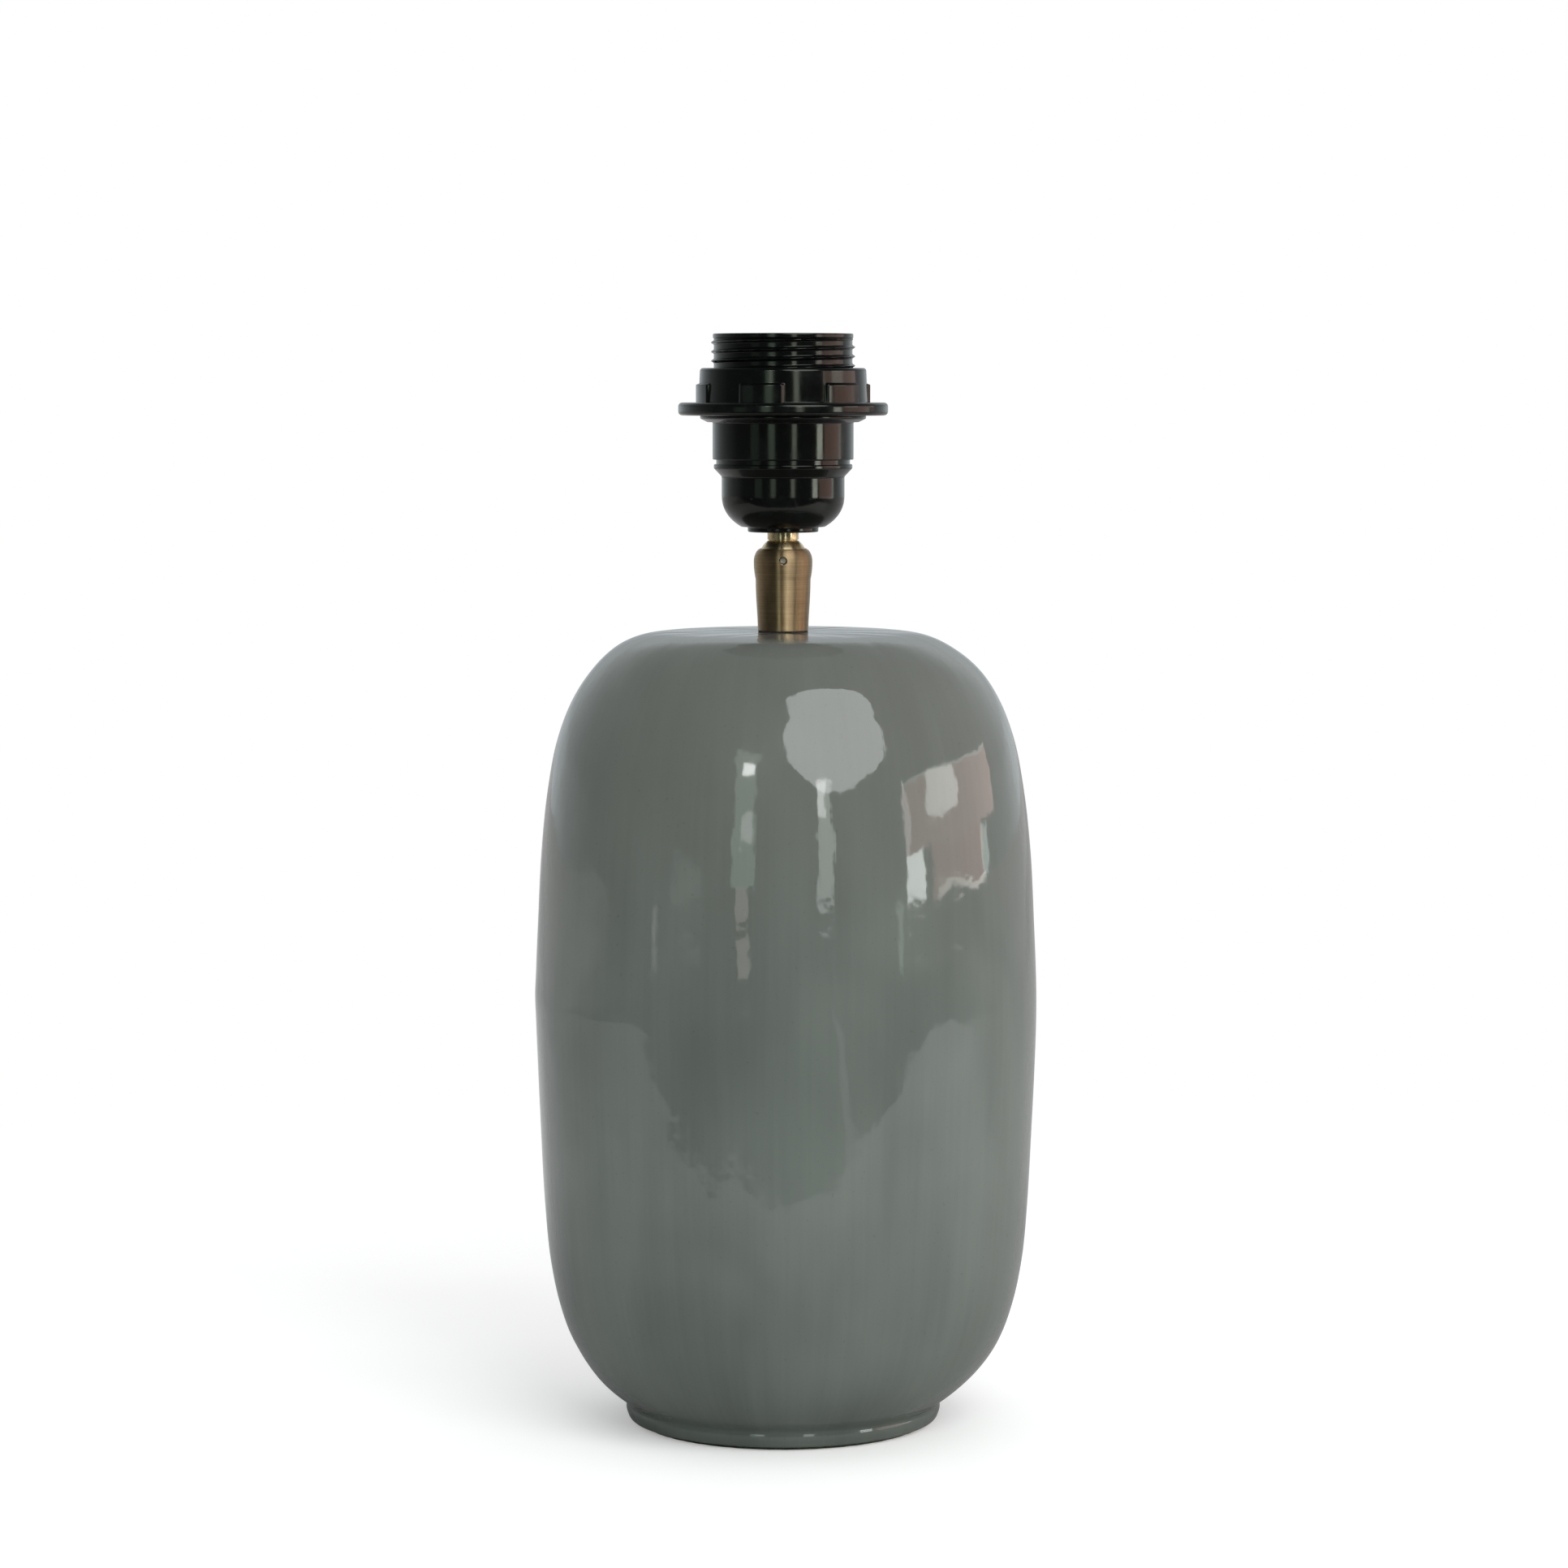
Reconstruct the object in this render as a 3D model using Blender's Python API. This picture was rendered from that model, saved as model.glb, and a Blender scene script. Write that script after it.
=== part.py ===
"""A ceramic table lamp base: a hollow glazed body, a brass ball swivel and a black screw lampholder.

Lengths are in metres and +Z is up. The origin is the middle of the face that the lamp stands on.
The front is towards -Y: the swivel's grub screw faces it, and the cord's hole is opposite, at +Y.
Every turned piece shares the lamp's axis, which is Z.
"""
import math

import bmesh
import bpy
from mathutils import Matrix, Vector

MM = 0.001

# Fits
GAP = 0.3 * MM             # left between pieces that rest on, or fit inside, one another
SCREW_GAP = 0.2 * MM       # round the small screws
OVERRUN = 2.0 * MM         # how far a cutter runs past the face that it opens
MERGE = 0.001 * MM

# Fineness of round pieces
BODY_SEGMENTS = 40
HOLDER_SEGMENTS = 36
BRASS_SEGMENTS = 24
SMALL_SEGMENTS = 16
ARC_STEPS = 6

# Ceramic body
BODY_HEIGHT = 220.2 * MM
BODY_RADIUS = 69.7 * MM
BODY_WALL = 5.5 * MM
BODY_SEAT_RADIUS = 9.5 * MM
# The outline below the widest place, as shares of the way out from the foot's radius to the
# body's, and of the body's height
BODY_LOWER_SHARES = (
    (0.042, 0.022), (0.332, 0.054), (0.550, 0.089), (0.713, 0.132), (0.835, 0.195),
    (0.910, 0.286), (0.957, 0.409), (0.997, 0.513), (1.000, 0.538),
)
# The outline above it, as shares of the way out from the seat's radius, and of the height
BODY_UPPER_SHARES = (
    (0.990, 0.581), (0.972, 0.704), (0.937, 0.804), (0.877, 0.881), (0.778, 0.936),
    (0.648, 0.973), (0.481, 0.991), (0.240, 0.998),
)
INNER_FIRST_STATION = 2    # the hollow follows the outline from this point upwards

# Foot
FOOT_RADIUS = 43.5 * MM
FOOT_ROLL_RADIUS = 2.2 * MM
FOOT_NECK_DEPTH = 1.1 * MM
FOOT_WIDTH = 7.0 * MM
FOOT_OPENING_RADIUS = FOOT_RADIUS - FOOT_WIDTH
FOOT_FLOOR = 9.5 * MM      # height of the hollow's lowest point over the foot
FELT_THICKNESS = 0.8 * MM
FELT_MARGIN = 1.2 * MM     # bare clay left at both sides of the felt

# Cord hole and its bush
OUTLET_HEIGHT = 34.0 * MM
BUSH_BORE_RADIUS = 4.0 * MM
BUSH_WALL = 1.4 * MM
BUSH_FLANGE_RADIUS = 7.2 * MM
BUSH_FLANGE_THICKNESS = 1.2 * MM
WALL_SAMPLES = 40          # places looked at along each part of the outline, under the flange

# Hollow tube and the fixing under the body's top
NIPPLE_RADIUS = 5.0 * MM
NIPPLE_BORE_RADIUS = 3.6 * MM
NIPPLE_TAIL = 2.5 * MM     # tube left below the nut
WASHER_HOLE_RADIUS = NIPPLE_RADIUS + GAP
GASKET_THICKNESS = 0.5 * MM
GASKET_OVERHANG = 0.25 * MM        # past the swivel's base
RUBBER_WASHER_WIDTH = 5.7 * MM
RUBBER_WASHER_THICKNESS = 1.5 * MM
STEEL_WASHER_WIDTH = 7.2 * MM
STEEL_WASHER_THICKNESS = 1.2 * MM
LOCK_WASHER_WIDTH = 2.9 * MM
LOCK_WASHER_THICKNESS = 1.0 * MM
LOCK_WASHER_SPLIT = 1.2 * MM
NUT_WALL = 2.0 * MM                # from the thread to a flat
NUT_THICKNESS = 5.0 * MM

# Ball and swivel: the swivel is a turned cup whose rim closes over the ball
BALL_RADIUS = 6.8 * MM
BALL_GAP_RADIUS = BALL_RADIUS + GAP
SWIVEL_WALL = 1.02 * MM            # beside the ball
SWIVEL_RIM_RADIUS = BALL_GAP_RADIUS + SWIVEL_WALL
SWIVEL_SWELL = 0.46 * MM           # how far the rim stands out past the waist
SWIVEL_TAPER = 0.61 * MM           # how far the waist stands out past the base
SWIVEL_WAIST_RADIUS = SWIVEL_RIM_RADIUS - SWIVEL_SWELL
SWIVEL_BASE_RADIUS = SWIVEL_WAIST_RADIUS - SWIVEL_TAPER
SWIVEL_SOCKET_DEPTH = 7.9 * MM     # the nipple screws this far into the swivel
SWIVEL_WEB = 1.2 * MM
SWIVEL_WELL_STEP = 0.4 * MM        # how far the well's wall lies inside the ball
SWIVEL_WELL_RADIUS = BALL_RADIUS - SWIVEL_WELL_STEP
SPRING_THICKNESS = 0.45 * MM
SPRING_RISE = 0.7 * MM
SEAT_BORE_RADIUS = NIPPLE_BORE_RADIUS + SCREW_GAP
SEAT_EDGE = 1.6525 * MM            # height of the seat ring at its bore
SPRING_FLOOR = SWIVEL_SOCKET_DEPTH + GAP + SWIVEL_WEB + GAP
SEAT_FLOOR = SPRING_FLOOR + SPRING_RISE + SPRING_THICKNESS + GAP
BALL_CENTRE_HEIGHT = SEAT_FLOOR + SEAT_EDGE + math.sqrt(BALL_GAP_RADIUS ** 2 - SEAT_BORE_RADIUS ** 2)
SWIVEL_WAIST_DROP = 5.0 * MM       # of the waist, below the ball's centre
SWIVEL_RIM_DROP = 0.6 * MM         # of the rim's start, below the ball's centre
SWIVEL_MOUTH_RISE = 3.1 * MM       # of the mouth, over the ball's centre
GRUB_SCREW_RADIUS = 0.9 * MM
GRUB_SCREW_RECESS = 0.2 * MM
GRUB_SCREW_TIP_GAP = 0.12 * MM
GRUB_SCREW_LENGTH = SWIVEL_WALL - GRUB_SCREW_RECESS - GRUB_SCREW_TIP_GAP

# Ball stem
STEM_BORE_RADIUS = 3.0 * MM
STEM_WALL = 1.27 * MM
STEM_NECK_RADIUS = STEM_BORE_RADIUS + STEM_WALL
STEM_NECK_LENGTH = 2.5 * MM        # that shows under the cap
STEM_GROOVE_STEP = 0.33 * MM
STEM_GROOVE_RADIUS = STEM_NECK_RADIUS + STEM_GROOVE_STEP
STEM_GROOVE_LENGTH = 0.192 * MM
STEM_GROOVE_HEIGHT = math.sqrt(BALL_RADIUS ** 2 - STEM_GROOVE_RADIUS ** 2) + STEM_GROOVE_LENGTH
STEM_THREAD_STEP = 0.63 * MM
STEM_THREAD_RADIUS = STEM_NECK_RADIUS + STEM_THREAD_STEP
BALL_FOOT_WALL = 0.9 * MM
BALL_FOOT_RADIUS = STEM_BORE_RADIUS + BALL_FOOT_WALL
CAP_BASE_HEIGHT = STEM_GROOVE_HEIGHT + STEM_NECK_LENGTH

# Insulating core and the screw shell for an E27 lamp, from the shell outwards
SHELL_MAJOR_RADIUS = 13.3 * MM
SHELL_DEPTH = 1.1 * MM
SHELL_MINOR_RADIUS = SHELL_MAJOR_RADIUS - SHELL_DEPTH
SHELL_PITCH = 3.63 * MM
SHELL_SHEET = 0.35 * MM
SHELL_LENGTH = 24.3 * MM
SHELL_ROOM = 1.75 * MM             # between the shell and the skirt
SHELL_SEGMENTS = 16
SHELL_PHASES = 4
SKIRT_BORE_RADIUS = SHELL_MAJOR_RADIUS + SHELL_SHEET + SHELL_ROOM
LEDGE_REACH = 2.1 * MM
LEDGE_RADIUS = SKIRT_BORE_RADIUS - LEDGE_REACH
CORE_FLANGE_WIDTH = 1.0 * MM
CORE_NECK_RADIUS = LEDGE_RADIUS - GAP
CORE_FLANGE_RADIUS = CORE_NECK_RADIUS + CORE_FLANGE_WIDTH
CORE_SHELL_SEAT_HEIGHT = 8.8 * MM  # over the core's base
CORE_BOSS_INSET = 1.2 * MM         # inside the shell
CORE_BOSS_RADIUS = SHELL_MINOR_RADIUS - CORE_BOSS_INSET
CORE_BOSS_HEIGHT = 10.1 * MM

# Lampholder skirt, with heights over the cap's lip
SPIGOT_BORE_RADIUS = CORE_FLANGE_RADIUS + GAP
SPIGOT_WALL = 1.2 * MM
SPIGOT_RADIUS = SPIGOT_BORE_RADIUS + SPIGOT_WALL
SPIGOT_ROOM = 0.8 * MM             # between the spigot and the cap's shelf
HOUSING_WALL = 4.1 * MM
HOUSING_RADIUS = SKIRT_BORE_RADIUS + HOUSING_WALL
HOUSING_HEIGHT = 10.3 * MM
STEP_DEPTH = 1.3 * MM
STEP_RADIUS = HOUSING_RADIUS - STEP_DEPTH
STEP_HEIGHT = 1.2 * MM
SKIRT_WALL = 3.75 * MM
THREAD_DEPTH = 0.75 * MM
THREAD_ROOT_RADIUS = SKIRT_BORE_RADIUS + SKIRT_WALL
THREAD_CREST_RADIUS = THREAD_ROOT_RADIUS + THREAD_DEPTH
THREAD_PITCH = 2.54 * MM
THREAD_LENGTH = 21.2 * MM
RIM_STEP = 0.25 * MM
RIM_RADIUS = THREAD_ROOT_RADIUS + RIM_STEP
RIM_HEIGHT = 1.35 * MM
RIM_EDGE = 0.3 * MM
SHOULDER_WIDTH = 2.5 * MM
SHOULDER_RADIUS = THREAD_CREST_RADIUS + SHOULDER_WIDTH
SHOULDER_CHAMFER = 1.2 * MM
SHOULDER_UNDERCUT_RADIUS = SHOULDER_RADIUS - SHOULDER_CHAMFER
SHOULDER_TAPER = 0.9 * MM
SHOULDER_THICKNESS = 1.8 * MM
LEDGE_HEIGHT = 1.7 * MM            # of its lower face, over the cap's lip
LEDGE_THICKNESS = 1.3 * MM
# Where the ridge of the outside thread starts, peaks and ends, as shares of its pitch
RIDGE_SHARES = (0.30, 0.50, 0.70)

# Lampholder cap, with heights over its own base
CAP_COLLAR_WALL = 4.1 * MM
CAP_COLLAR_RADIUS = STEM_THREAD_RADIUS + GAP + CAP_COLLAR_WALL
CAP_MOUTH_RADIUS = SPIGOT_RADIUS + GAP
CAP_MOUTH_WALL = 1.2 * MM
CAP_DOME_RADIUS = CAP_MOUTH_RADIUS + CAP_MOUTH_WALL
CAP_DOME_RISE = 11.3 * MM
CAP_DOME_CENTRE = 10.2 * MM
CAP_FLARE_START = 15.3 * MM
CAP_FLARE_END = 17.6 * MM
CAP_LIP_INSET = 0.33 * MM          # inside the skirt's housing
CAP_LIP_RADIUS = HOUSING_RADIUS - CAP_LIP_INSET
CAP_HEIGHT = 18.5 * MM
CAP_LIP_EDGE = 0.3 * MM
CAP_WALL = 1.8 * MM
CAP_SHELF_REACH = 0.6 * MM         # under the core's flange
CAP_SHELF_RADIUS = CORE_FLANGE_RADIUS - CAP_SHELF_REACH
CAP_SHELF_HEIGHT = 12.8 * MM
CAP_SHELF_THICKNESS = 1.2 * MM
SPIGOT_LENGTH = CAP_HEIGHT - CAP_SHELF_HEIGHT - SPIGOT_ROOM
CAP_BOSS_WALL = 1.6 * MM
CAP_BOSS_RADIUS = STEM_THREAD_RADIUS + GAP + CAP_BOSS_WALL
CAP_BOSS_HEIGHT = 9.2 * MM
CAP_THREAD_LENGTH = 8.8 * MM       # the stem's thread inside the cap
ENTRY_SCREW_RADIUS = 1.2 * MM
ENTRY_SCREW_LENGTH = 4.0 * MM
ENTRY_SCREW_HEIGHT = 6.7 * MM
SLOT_WIDTH = 0.5 * MM
SLOT_DEPTH = 0.6 * MM

# Terminals and contacts
TERMINAL_WIDTH = 4.4 * MM
TERMINAL_HEIGHT = 5.0 * MM
TERMINAL_DROP = 3.4 * MM           # how far a terminal hangs below the core
TERMINAL_SCREW_RADIUS = 0.9 * MM
TERMINAL_SCREW_LENGTH = 4.2 * MM
TERMINAL_HEAD_RADIUS = 1.9 * MM
TERMINAL_HEAD_THICKNESS = 1.5 * MM
# A terminal's screw clears the cap's boss, and the strap rises just outside the core's boss
TERMINAL_OFFSET = CAP_BOSS_RADIUS + GAP + TERMINAL_HEAD_RADIUS
STRAP_THICKNESS = 0.5 * MM
TERMINAL_LENGTH = 2 * (CORE_BOSS_RADIUS + STRAP_THICKNESS - TERMINAL_OFFSET)
STRAP_HEIGHT = 2.6 * MM            # over the core's boss
LEAF_THICKNESS = 0.5 * MM
LEAF_WIDTH = 4.6 * MM
LEAF_PIVOT_X = -7.6 * MM
LEAF_TAIL = 2.2 * MM
LEAF_FLAT = 1.6 * MM
LEAF_RISE = 5.2 * MM
LEAF_CROWN_HALF = 1.6 * MM
LEAF_TIP_REACH = 4.0 * MM
LEAF_TIP_DROP = 1.0 * MM
RIVET_SHANK_RADIUS = 0.9 * MM
RIVET_HEAD_RADIUS = 1.9 * MM
RIVET_HEAD_THICKNESS = 0.7 * MM
LEAF_PLAY = 0.5 * MM               # between the rivet's head and the leaf
LEAF_LIFT = 0.4 * MM               # between the core and the leaf's foot

# Shade ring, with heights over its own base
RING_BORE_RADIUS = THREAD_CREST_RADIUS + GAP
RING_WALL = 2.9 * MM
RING_NECK_RADIUS = RING_BORE_RADIUS + RING_WALL
RING_FLANGE_WIDTH = 5.9 * MM
RING_FLANGE_RADIUS = RING_NECK_RADIUS + RING_FLANGE_WIDTH
RING_FLANGE_THICKNESS = 3.3 * MM
RING_FLANGE_EDGE = 0.9 * MM
RING_TAPER = 0.4 * MM
RING_TOP_RADIUS = RING_NECK_RADIUS - RING_TAPER
RING_TOP_EDGE = 0.4 * MM
RING_HEIGHT = 12.8 * MM
RING_GRIP_DEPTH = 1.0 * MM
RING_GRIP_RADIUS = RING_NECK_RADIUS + RING_GRIP_DEPTH
RING_GRIP_TOP = 8.6 * MM
RING_GRIP_BITE = 1.0 * MM          # how deep the grips are rooted in the ring
RING_GRIPS = 6

# Heights built up from the pieces below
FOOT_Z = FELT_THICKNESS + GAP
SEAT_Z = FOOT_Z + BODY_HEIGHT
GASKET_Z = SEAT_Z + GAP
SWIVEL_Z = GASKET_Z + GASKET_THICKNESS + GAP
BALL_Z = SWIVEL_Z + BALL_CENTRE_HEIGHT
CAP_Z = BALL_Z + CAP_BASE_HEIGHT
SKIRT_Z = CAP_Z + CAP_HEIGHT + GAP
SHOULDER_Z = SKIRT_Z + STEP_HEIGHT + HOUSING_HEIGHT + SHOULDER_THICKNESS
THREAD_TOP_Z = SHOULDER_Z + THREAD_LENGTH
RIM_Z = THREAD_TOP_Z + RIM_HEIGHT
CORE_Z = CAP_Z + CAP_SHELF_HEIGHT + GAP
LEDGE_Z = SKIRT_Z + LEDGE_HEIGHT
SHELL_Z = CORE_Z + CORE_SHELL_SEAT_HEIGHT + GAP
CORE_BOSS_Z = CORE_Z + CORE_BOSS_HEIGHT
LEAF_Z = CORE_BOSS_Z + LEAF_LIFT
RING_Z = SHOULDER_Z + GAP
TERMINAL_Z = CORE_Z - TERMINAL_DROP
WALL_UNDER_SEAT_Z = SEAT_Z - BODY_WALL

BALL_CENTRE = Vector((0, 0, BALL_Z))
LEAF_PIVOT = Vector((LEAF_PIVOT_X, 0, LEAF_Z + LEAF_THICKNESS / 2))
RING_CENTRE = Vector((0, 0, RING_Z))


def clear_scene():
    """Removes whatever the scene holds before the lamp is built."""
    for item in list(bpy.data.objects):
        bpy.data.objects.remove(item, do_unlink=True)


def finish(name, colour, roughness, metallic=0.0):
    """Makes a plain material from a linear colour, a roughness and a metallic value."""
    material = bpy.data.materials.new(name)
    material.use_nodes = True
    shader = material.node_tree.nodes["Principled BSDF"]
    shader.inputs["Base Color"].default_value = (*colour, 1.0)
    shader.inputs["Roughness"].default_value = roughness
    shader.inputs["Metallic"].default_value = metallic
    return material


def axis_marker(name, place, parent=None):
    """Adds an empty that marks a joint's axis and carries the pieces that move with it."""
    marker = bpy.data.objects.new(name, None)
    marker.empty_display_size = BALL_RADIUS
    bpy.context.scene.collection.objects.link(marker)
    settle(marker, place, parent)
    return marker


def settle(item, place, parent):
    """Puts an object at a place in the world, under a parent that is itself unturned."""
    origin = Vector(parent["world_place"]) if parent else Vector()
    item["world_place"] = list(place)
    item.parent = parent
    item.location = place - origin


def add_piece(name, bm, material, place=None, parent=None):
    """Turns a bmesh in world coordinates into an object whose origin is at the given place."""
    place = place if place is not None else Vector()
    bm.normal_update()
    bmesh.ops.recalc_face_normals(bm, faces=bm.faces)
    mesh = bpy.data.meshes.new(name)
    bm.to_mesh(mesh)
    bm.free()
    mesh.transform(Matrix.Translation(-place))
    mesh.materials.append(material)
    mesh.shade_smooth()
    mesh.set_sharp_from_angle(angle=math.radians(35.0))
    piece = bpy.data.objects.new(name, mesh)
    bpy.context.scene.collection.objects.link(piece)
    settle(piece, place, parent)
    return piece


def add_cutter(name, bm, material):
    """Adds a wire-only helper object that shapes another piece."""
    cutter = add_piece(name, bm, material)
    cutter.hide_render = True
    cutter.display_type = "WIRE"
    return cutter


def combine(piece, helper, operation):
    """Joins a helper's volume to a piece, or takes it away."""
    modifier = piece.modifiers.new(helper.name, "BOOLEAN")
    modifier.operation = operation
    modifier.object = helper
    modifier.solver = "EXACT"


def lathe(profile, segments, sweep=2 * math.pi, start=0.0):
    """Turns a closed (radius, height) outline about the lamp's axis.

    A full sweep gives a ring or a disc, and a shorter one a closed sector from the start angle.
    """
    bm = bmesh.new()
    spoke = Vector((math.cos(start), math.sin(start), 0))
    points = [bm.verts.new(spoke * radius + Vector((0, 0, z))) for radius, z in profile]
    whole = math.isclose(sweep, 2 * math.pi)
    if whole:
        sides = list(zip(points, points[1:] + points[:1]))
        off_axis = [(a, b) for a, b in sides if a.co.xy.length > MERGE or b.co.xy.length > MERGE]
        geometry = points + [bm.edges.new(pair) for pair in off_axis]
    else:
        geometry = [bm.faces.new(points)]
    bmesh.ops.spin(bm, geom=geometry, axis=(0, 0, 1), cent=(0, 0, 0), angle=sweep, steps=segments,
                   use_merge=whole)
    bmesh.ops.remove_doubles(bm, verts=bm.verts, dist=MERGE)
    bmesh.ops.recalc_face_normals(bm, faces=bm.faces)
    return bm


def tube_profile(bore, radius, low, high):
    """Outline of a plain ring between a bore and an outer radius."""
    return [(bore, high), (radius, high), (radius, low), (bore, low)]


def rod(radius, low, high, segments):
    """A plain solid cylinder on the lamp's axis."""
    return lathe([(0, high), (radius, high), (radius, low), (0, low)], segments)


def arc(centre, radii, first, last, steps=ARC_STEPS):
    """Points of an elliptical arc in a (radius, height) outline; angles are in degrees."""
    angles = [math.radians(first + (last - first) * i / steps) for i in range(steps + 1)]
    return [(centre[0] + radii[0] * math.cos(a), centre[1] + radii[1] * math.sin(a)) for a in angles]


def block(low, high):
    """A box between two corners."""
    bm = bmesh.new()
    size = Vector(high) - Vector(low)
    middle = (Vector(high) + Vector(low)) / 2
    matrix = Matrix.Translation(middle) @ Matrix.Diagonal((*size, 1.0))
    bmesh.ops.create_cube(bm, size=1.0, matrix=matrix)
    return bm


def extrude_outline(outline, width):
    """Extrudes an (x, z) outline along Y to the given width, centred on the axis."""
    bm = bmesh.new()
    face = bm.faces.new([bm.verts.new((x, -width / 2, z)) for x, z in outline])
    grown = bmesh.ops.extrude_face_region(bm, geom=[face])
    fresh = [part for part in grown["geom"] if isinstance(part, bmesh.types.BMVert)]
    bmesh.ops.translate(bm, verts=fresh, vec=(0, width, 0))
    return bm


def sideways(bm, place, direction):
    """Turns a piece that was made along +Z so that it points in a direction from a place."""
    turn = Vector(direction).to_track_quat("Z", "Y").to_matrix().to_4x4()
    bm.transform(Matrix.Translation(place) @ turn)
    return bm


def merged(*parts):
    """Puts several closed bodies into one bmesh."""
    whole = bmesh.new()
    for part in parts:
        scrap = bpy.data.meshes.new("scrap")
        part.to_mesh(scrap)
        part.free()
        whole.from_mesh(scrap)
        bpy.data.meshes.remove(scrap)
    return whole


def thread_skin(points, pitch, low, high, segments):
    """The open skin of a right-handed screw thread between two heights.

    Points are one turn's (share of the pitch, radius) pairs. Each column of the skin stands at its
    own angle and is lifted by that share of the pitch, so the rows run on as helices: the last
    column joins the first one, a turn further up. Both ends are then cut square.
    """
    bm = bmesh.new()
    count = len(points)
    turns = math.ceil((high - low) / pitch) + 3
    rows = turns * count
    start = low - pitch
    grid = []
    for column in range(segments):
        lift = column / segments
        angle = 2 * math.pi * lift
        line = []
        for row in range(rows):
            share, radius = points[row % count]
            z = start + pitch * (row // count + share + lift)
            line.append(bm.verts.new((radius * math.cos(angle), radius * math.sin(angle), z)))
        grid.append(line)
    for column in range(segments):
        step = count if column == segments - 1 else 0
        here, after = grid[column], grid[(column + 1) % segments]
        for row in range(rows - 1 - step):
            bm.faces.new((here[row], after[row + step], after[row + step + 1], here[row + 1]))
    for height, up in ((low, -1), (high, 1)):
        whole = bm.verts[:] + bm.edges[:] + bm.faces[:]
        bmesh.ops.bisect_plane(bm, geom=whole, dist=MERGE, plane_co=(0, 0, height),
                               plane_no=(0, 0, up), clear_outer=True)
    bmesh.ops.remove_doubles(bm, verts=bm.verts, dist=MERGE)
    return bm


def threaded_rod(points, pitch, low, high, segments):
    """A solid rod with a screw thread outside, cut square at both ends."""
    bm = thread_skin(points, pitch, low, high, segments)
    open_edges = [edge for edge in bm.edges if edge.is_boundary]
    bmesh.ops.edgeloop_fill(bm, edges=open_edges)
    return bm


def body_outline():
    """The ceramic's outer (radius, height) points, bottom to top, in world heights."""
    points = []
    for start, shares in ((FOOT_RADIUS, BODY_LOWER_SHARES), (BODY_SEAT_RADIUS, BODY_UPPER_SHARES)):
        points += [(start + out * (BODY_RADIUS - start), FOOT_Z + up * BODY_HEIGHT) for out, up in shares]
    return points


def outline_normal(points, index):
    """Outward unit normal of an outline that runs upwards, at one of its points."""
    before = points[max(index - 1, 0)]
    after = points[min(index + 1, len(points) - 1)]
    run, rise = after[0] - before[0], after[1] - before[1]
    length = math.hypot(run, rise)
    return rise / length, -run / length


def hollow_outline():
    """The ceramic's inner points, one wall inside the outline, bottom to top."""
    points = body_outline()
    inside = []
    for index in range(INNER_FIRST_STATION, len(points)):
        out, up = outline_normal(points, index)
        inside.append((points[index][0] - out * BODY_WALL, points[index][1] - up * BODY_WALL))
    ceiling = WALL_UNDER_SEAT_Z
    return [(radius, min(z, ceiling)) for radius, z in inside]


def outlet_frame():
    """Middle of the wall at the cord's hole, and the outward normal there, as (radius, height)."""
    points = body_outline()
    height = FOOT_Z + OUTLET_HEIGHT
    index = next(i for i, point in enumerate(points) if point[1] > height)
    low, high = points[index - 1], points[index]
    share = (height - low[1]) / (high[1] - low[1])
    radius = low[0] + (high[0] - low[0]) * share
    run, rise = high[0] - low[0], high[1] - low[1]
    length = math.hypot(run, rise)
    normal = Vector((0, rise / length, -run / length))
    outside = Vector((0, radius, height))
    return outside - normal * (BODY_WALL / 2), normal


def make_ceramic_body(glaze, hidden):
    """The hollow body: rolled foot, swelling wall, flat seat, and the holes for tube and cord."""
    hole = NIPPLE_RADIUS + 2 * GAP
    roll = FOOT_ROLL_RADIUS
    roll_centre = (FOOT_RADIUS - roll, FOOT_Z + roll)
    neck = (FOOT_RADIUS - FOOT_NECK_DEPTH, FOOT_Z + 2 * roll)
    profile = [(FOOT_OPENING_RADIUS, FOOT_Z)]
    profile += arc(roll_centre, (roll, roll), -90, 60, ARC_STEPS - 1)
    profile += [neck] + body_outline()
    profile += [(BODY_SEAT_RADIUS, SEAT_Z), (hole, SEAT_Z), (hole, WALL_UNDER_SEAT_Z)]
    profile += list(reversed(hollow_outline()))
    profile += [(FOOT_OPENING_RADIUS, FOOT_Z + FOOT_FLOOR)]
    body = add_piece("ceramic_body", lathe(profile, BODY_SEGMENTS), glaze)
    middle, normal = outlet_frame()
    drill = rod(BUSH_BORE_RADIUS + BUSH_WALL + GAP, -BODY_WALL, BODY_WALL, SMALL_SEGMENTS)
    drill = add_cutter("cord_hole_drill", sideways(drill, middle, normal), hidden)
    combine(body, drill, "DIFFERENCE")
    return body


def inner_wall_reach(middle, normal):
    """How far the wall's inner face stands from the wall's middle, anywhere under the bush's flange."""
    along = Vector((0, -normal.z, normal.y))
    reach = [BODY_WALL / 2]
    points = hollow_outline()
    for low, high in zip(points, points[1:]):
        for step in range(WALL_SAMPLES):
            share = step / WALL_SAMPLES
            radius = low[0] + (high[0] - low[0]) * share
            place = Vector((0, radius, low[1] + (high[1] - low[1]) * share)) - middle
            beside = BUSH_FLANGE_RADIUS ** 2 - place.dot(along) ** 2
            if beside > 0:
                curve = radius - math.sqrt(radius ** 2 - beside)
                reach.append(curve - place.dot(normal))
    return max(reach)


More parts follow.
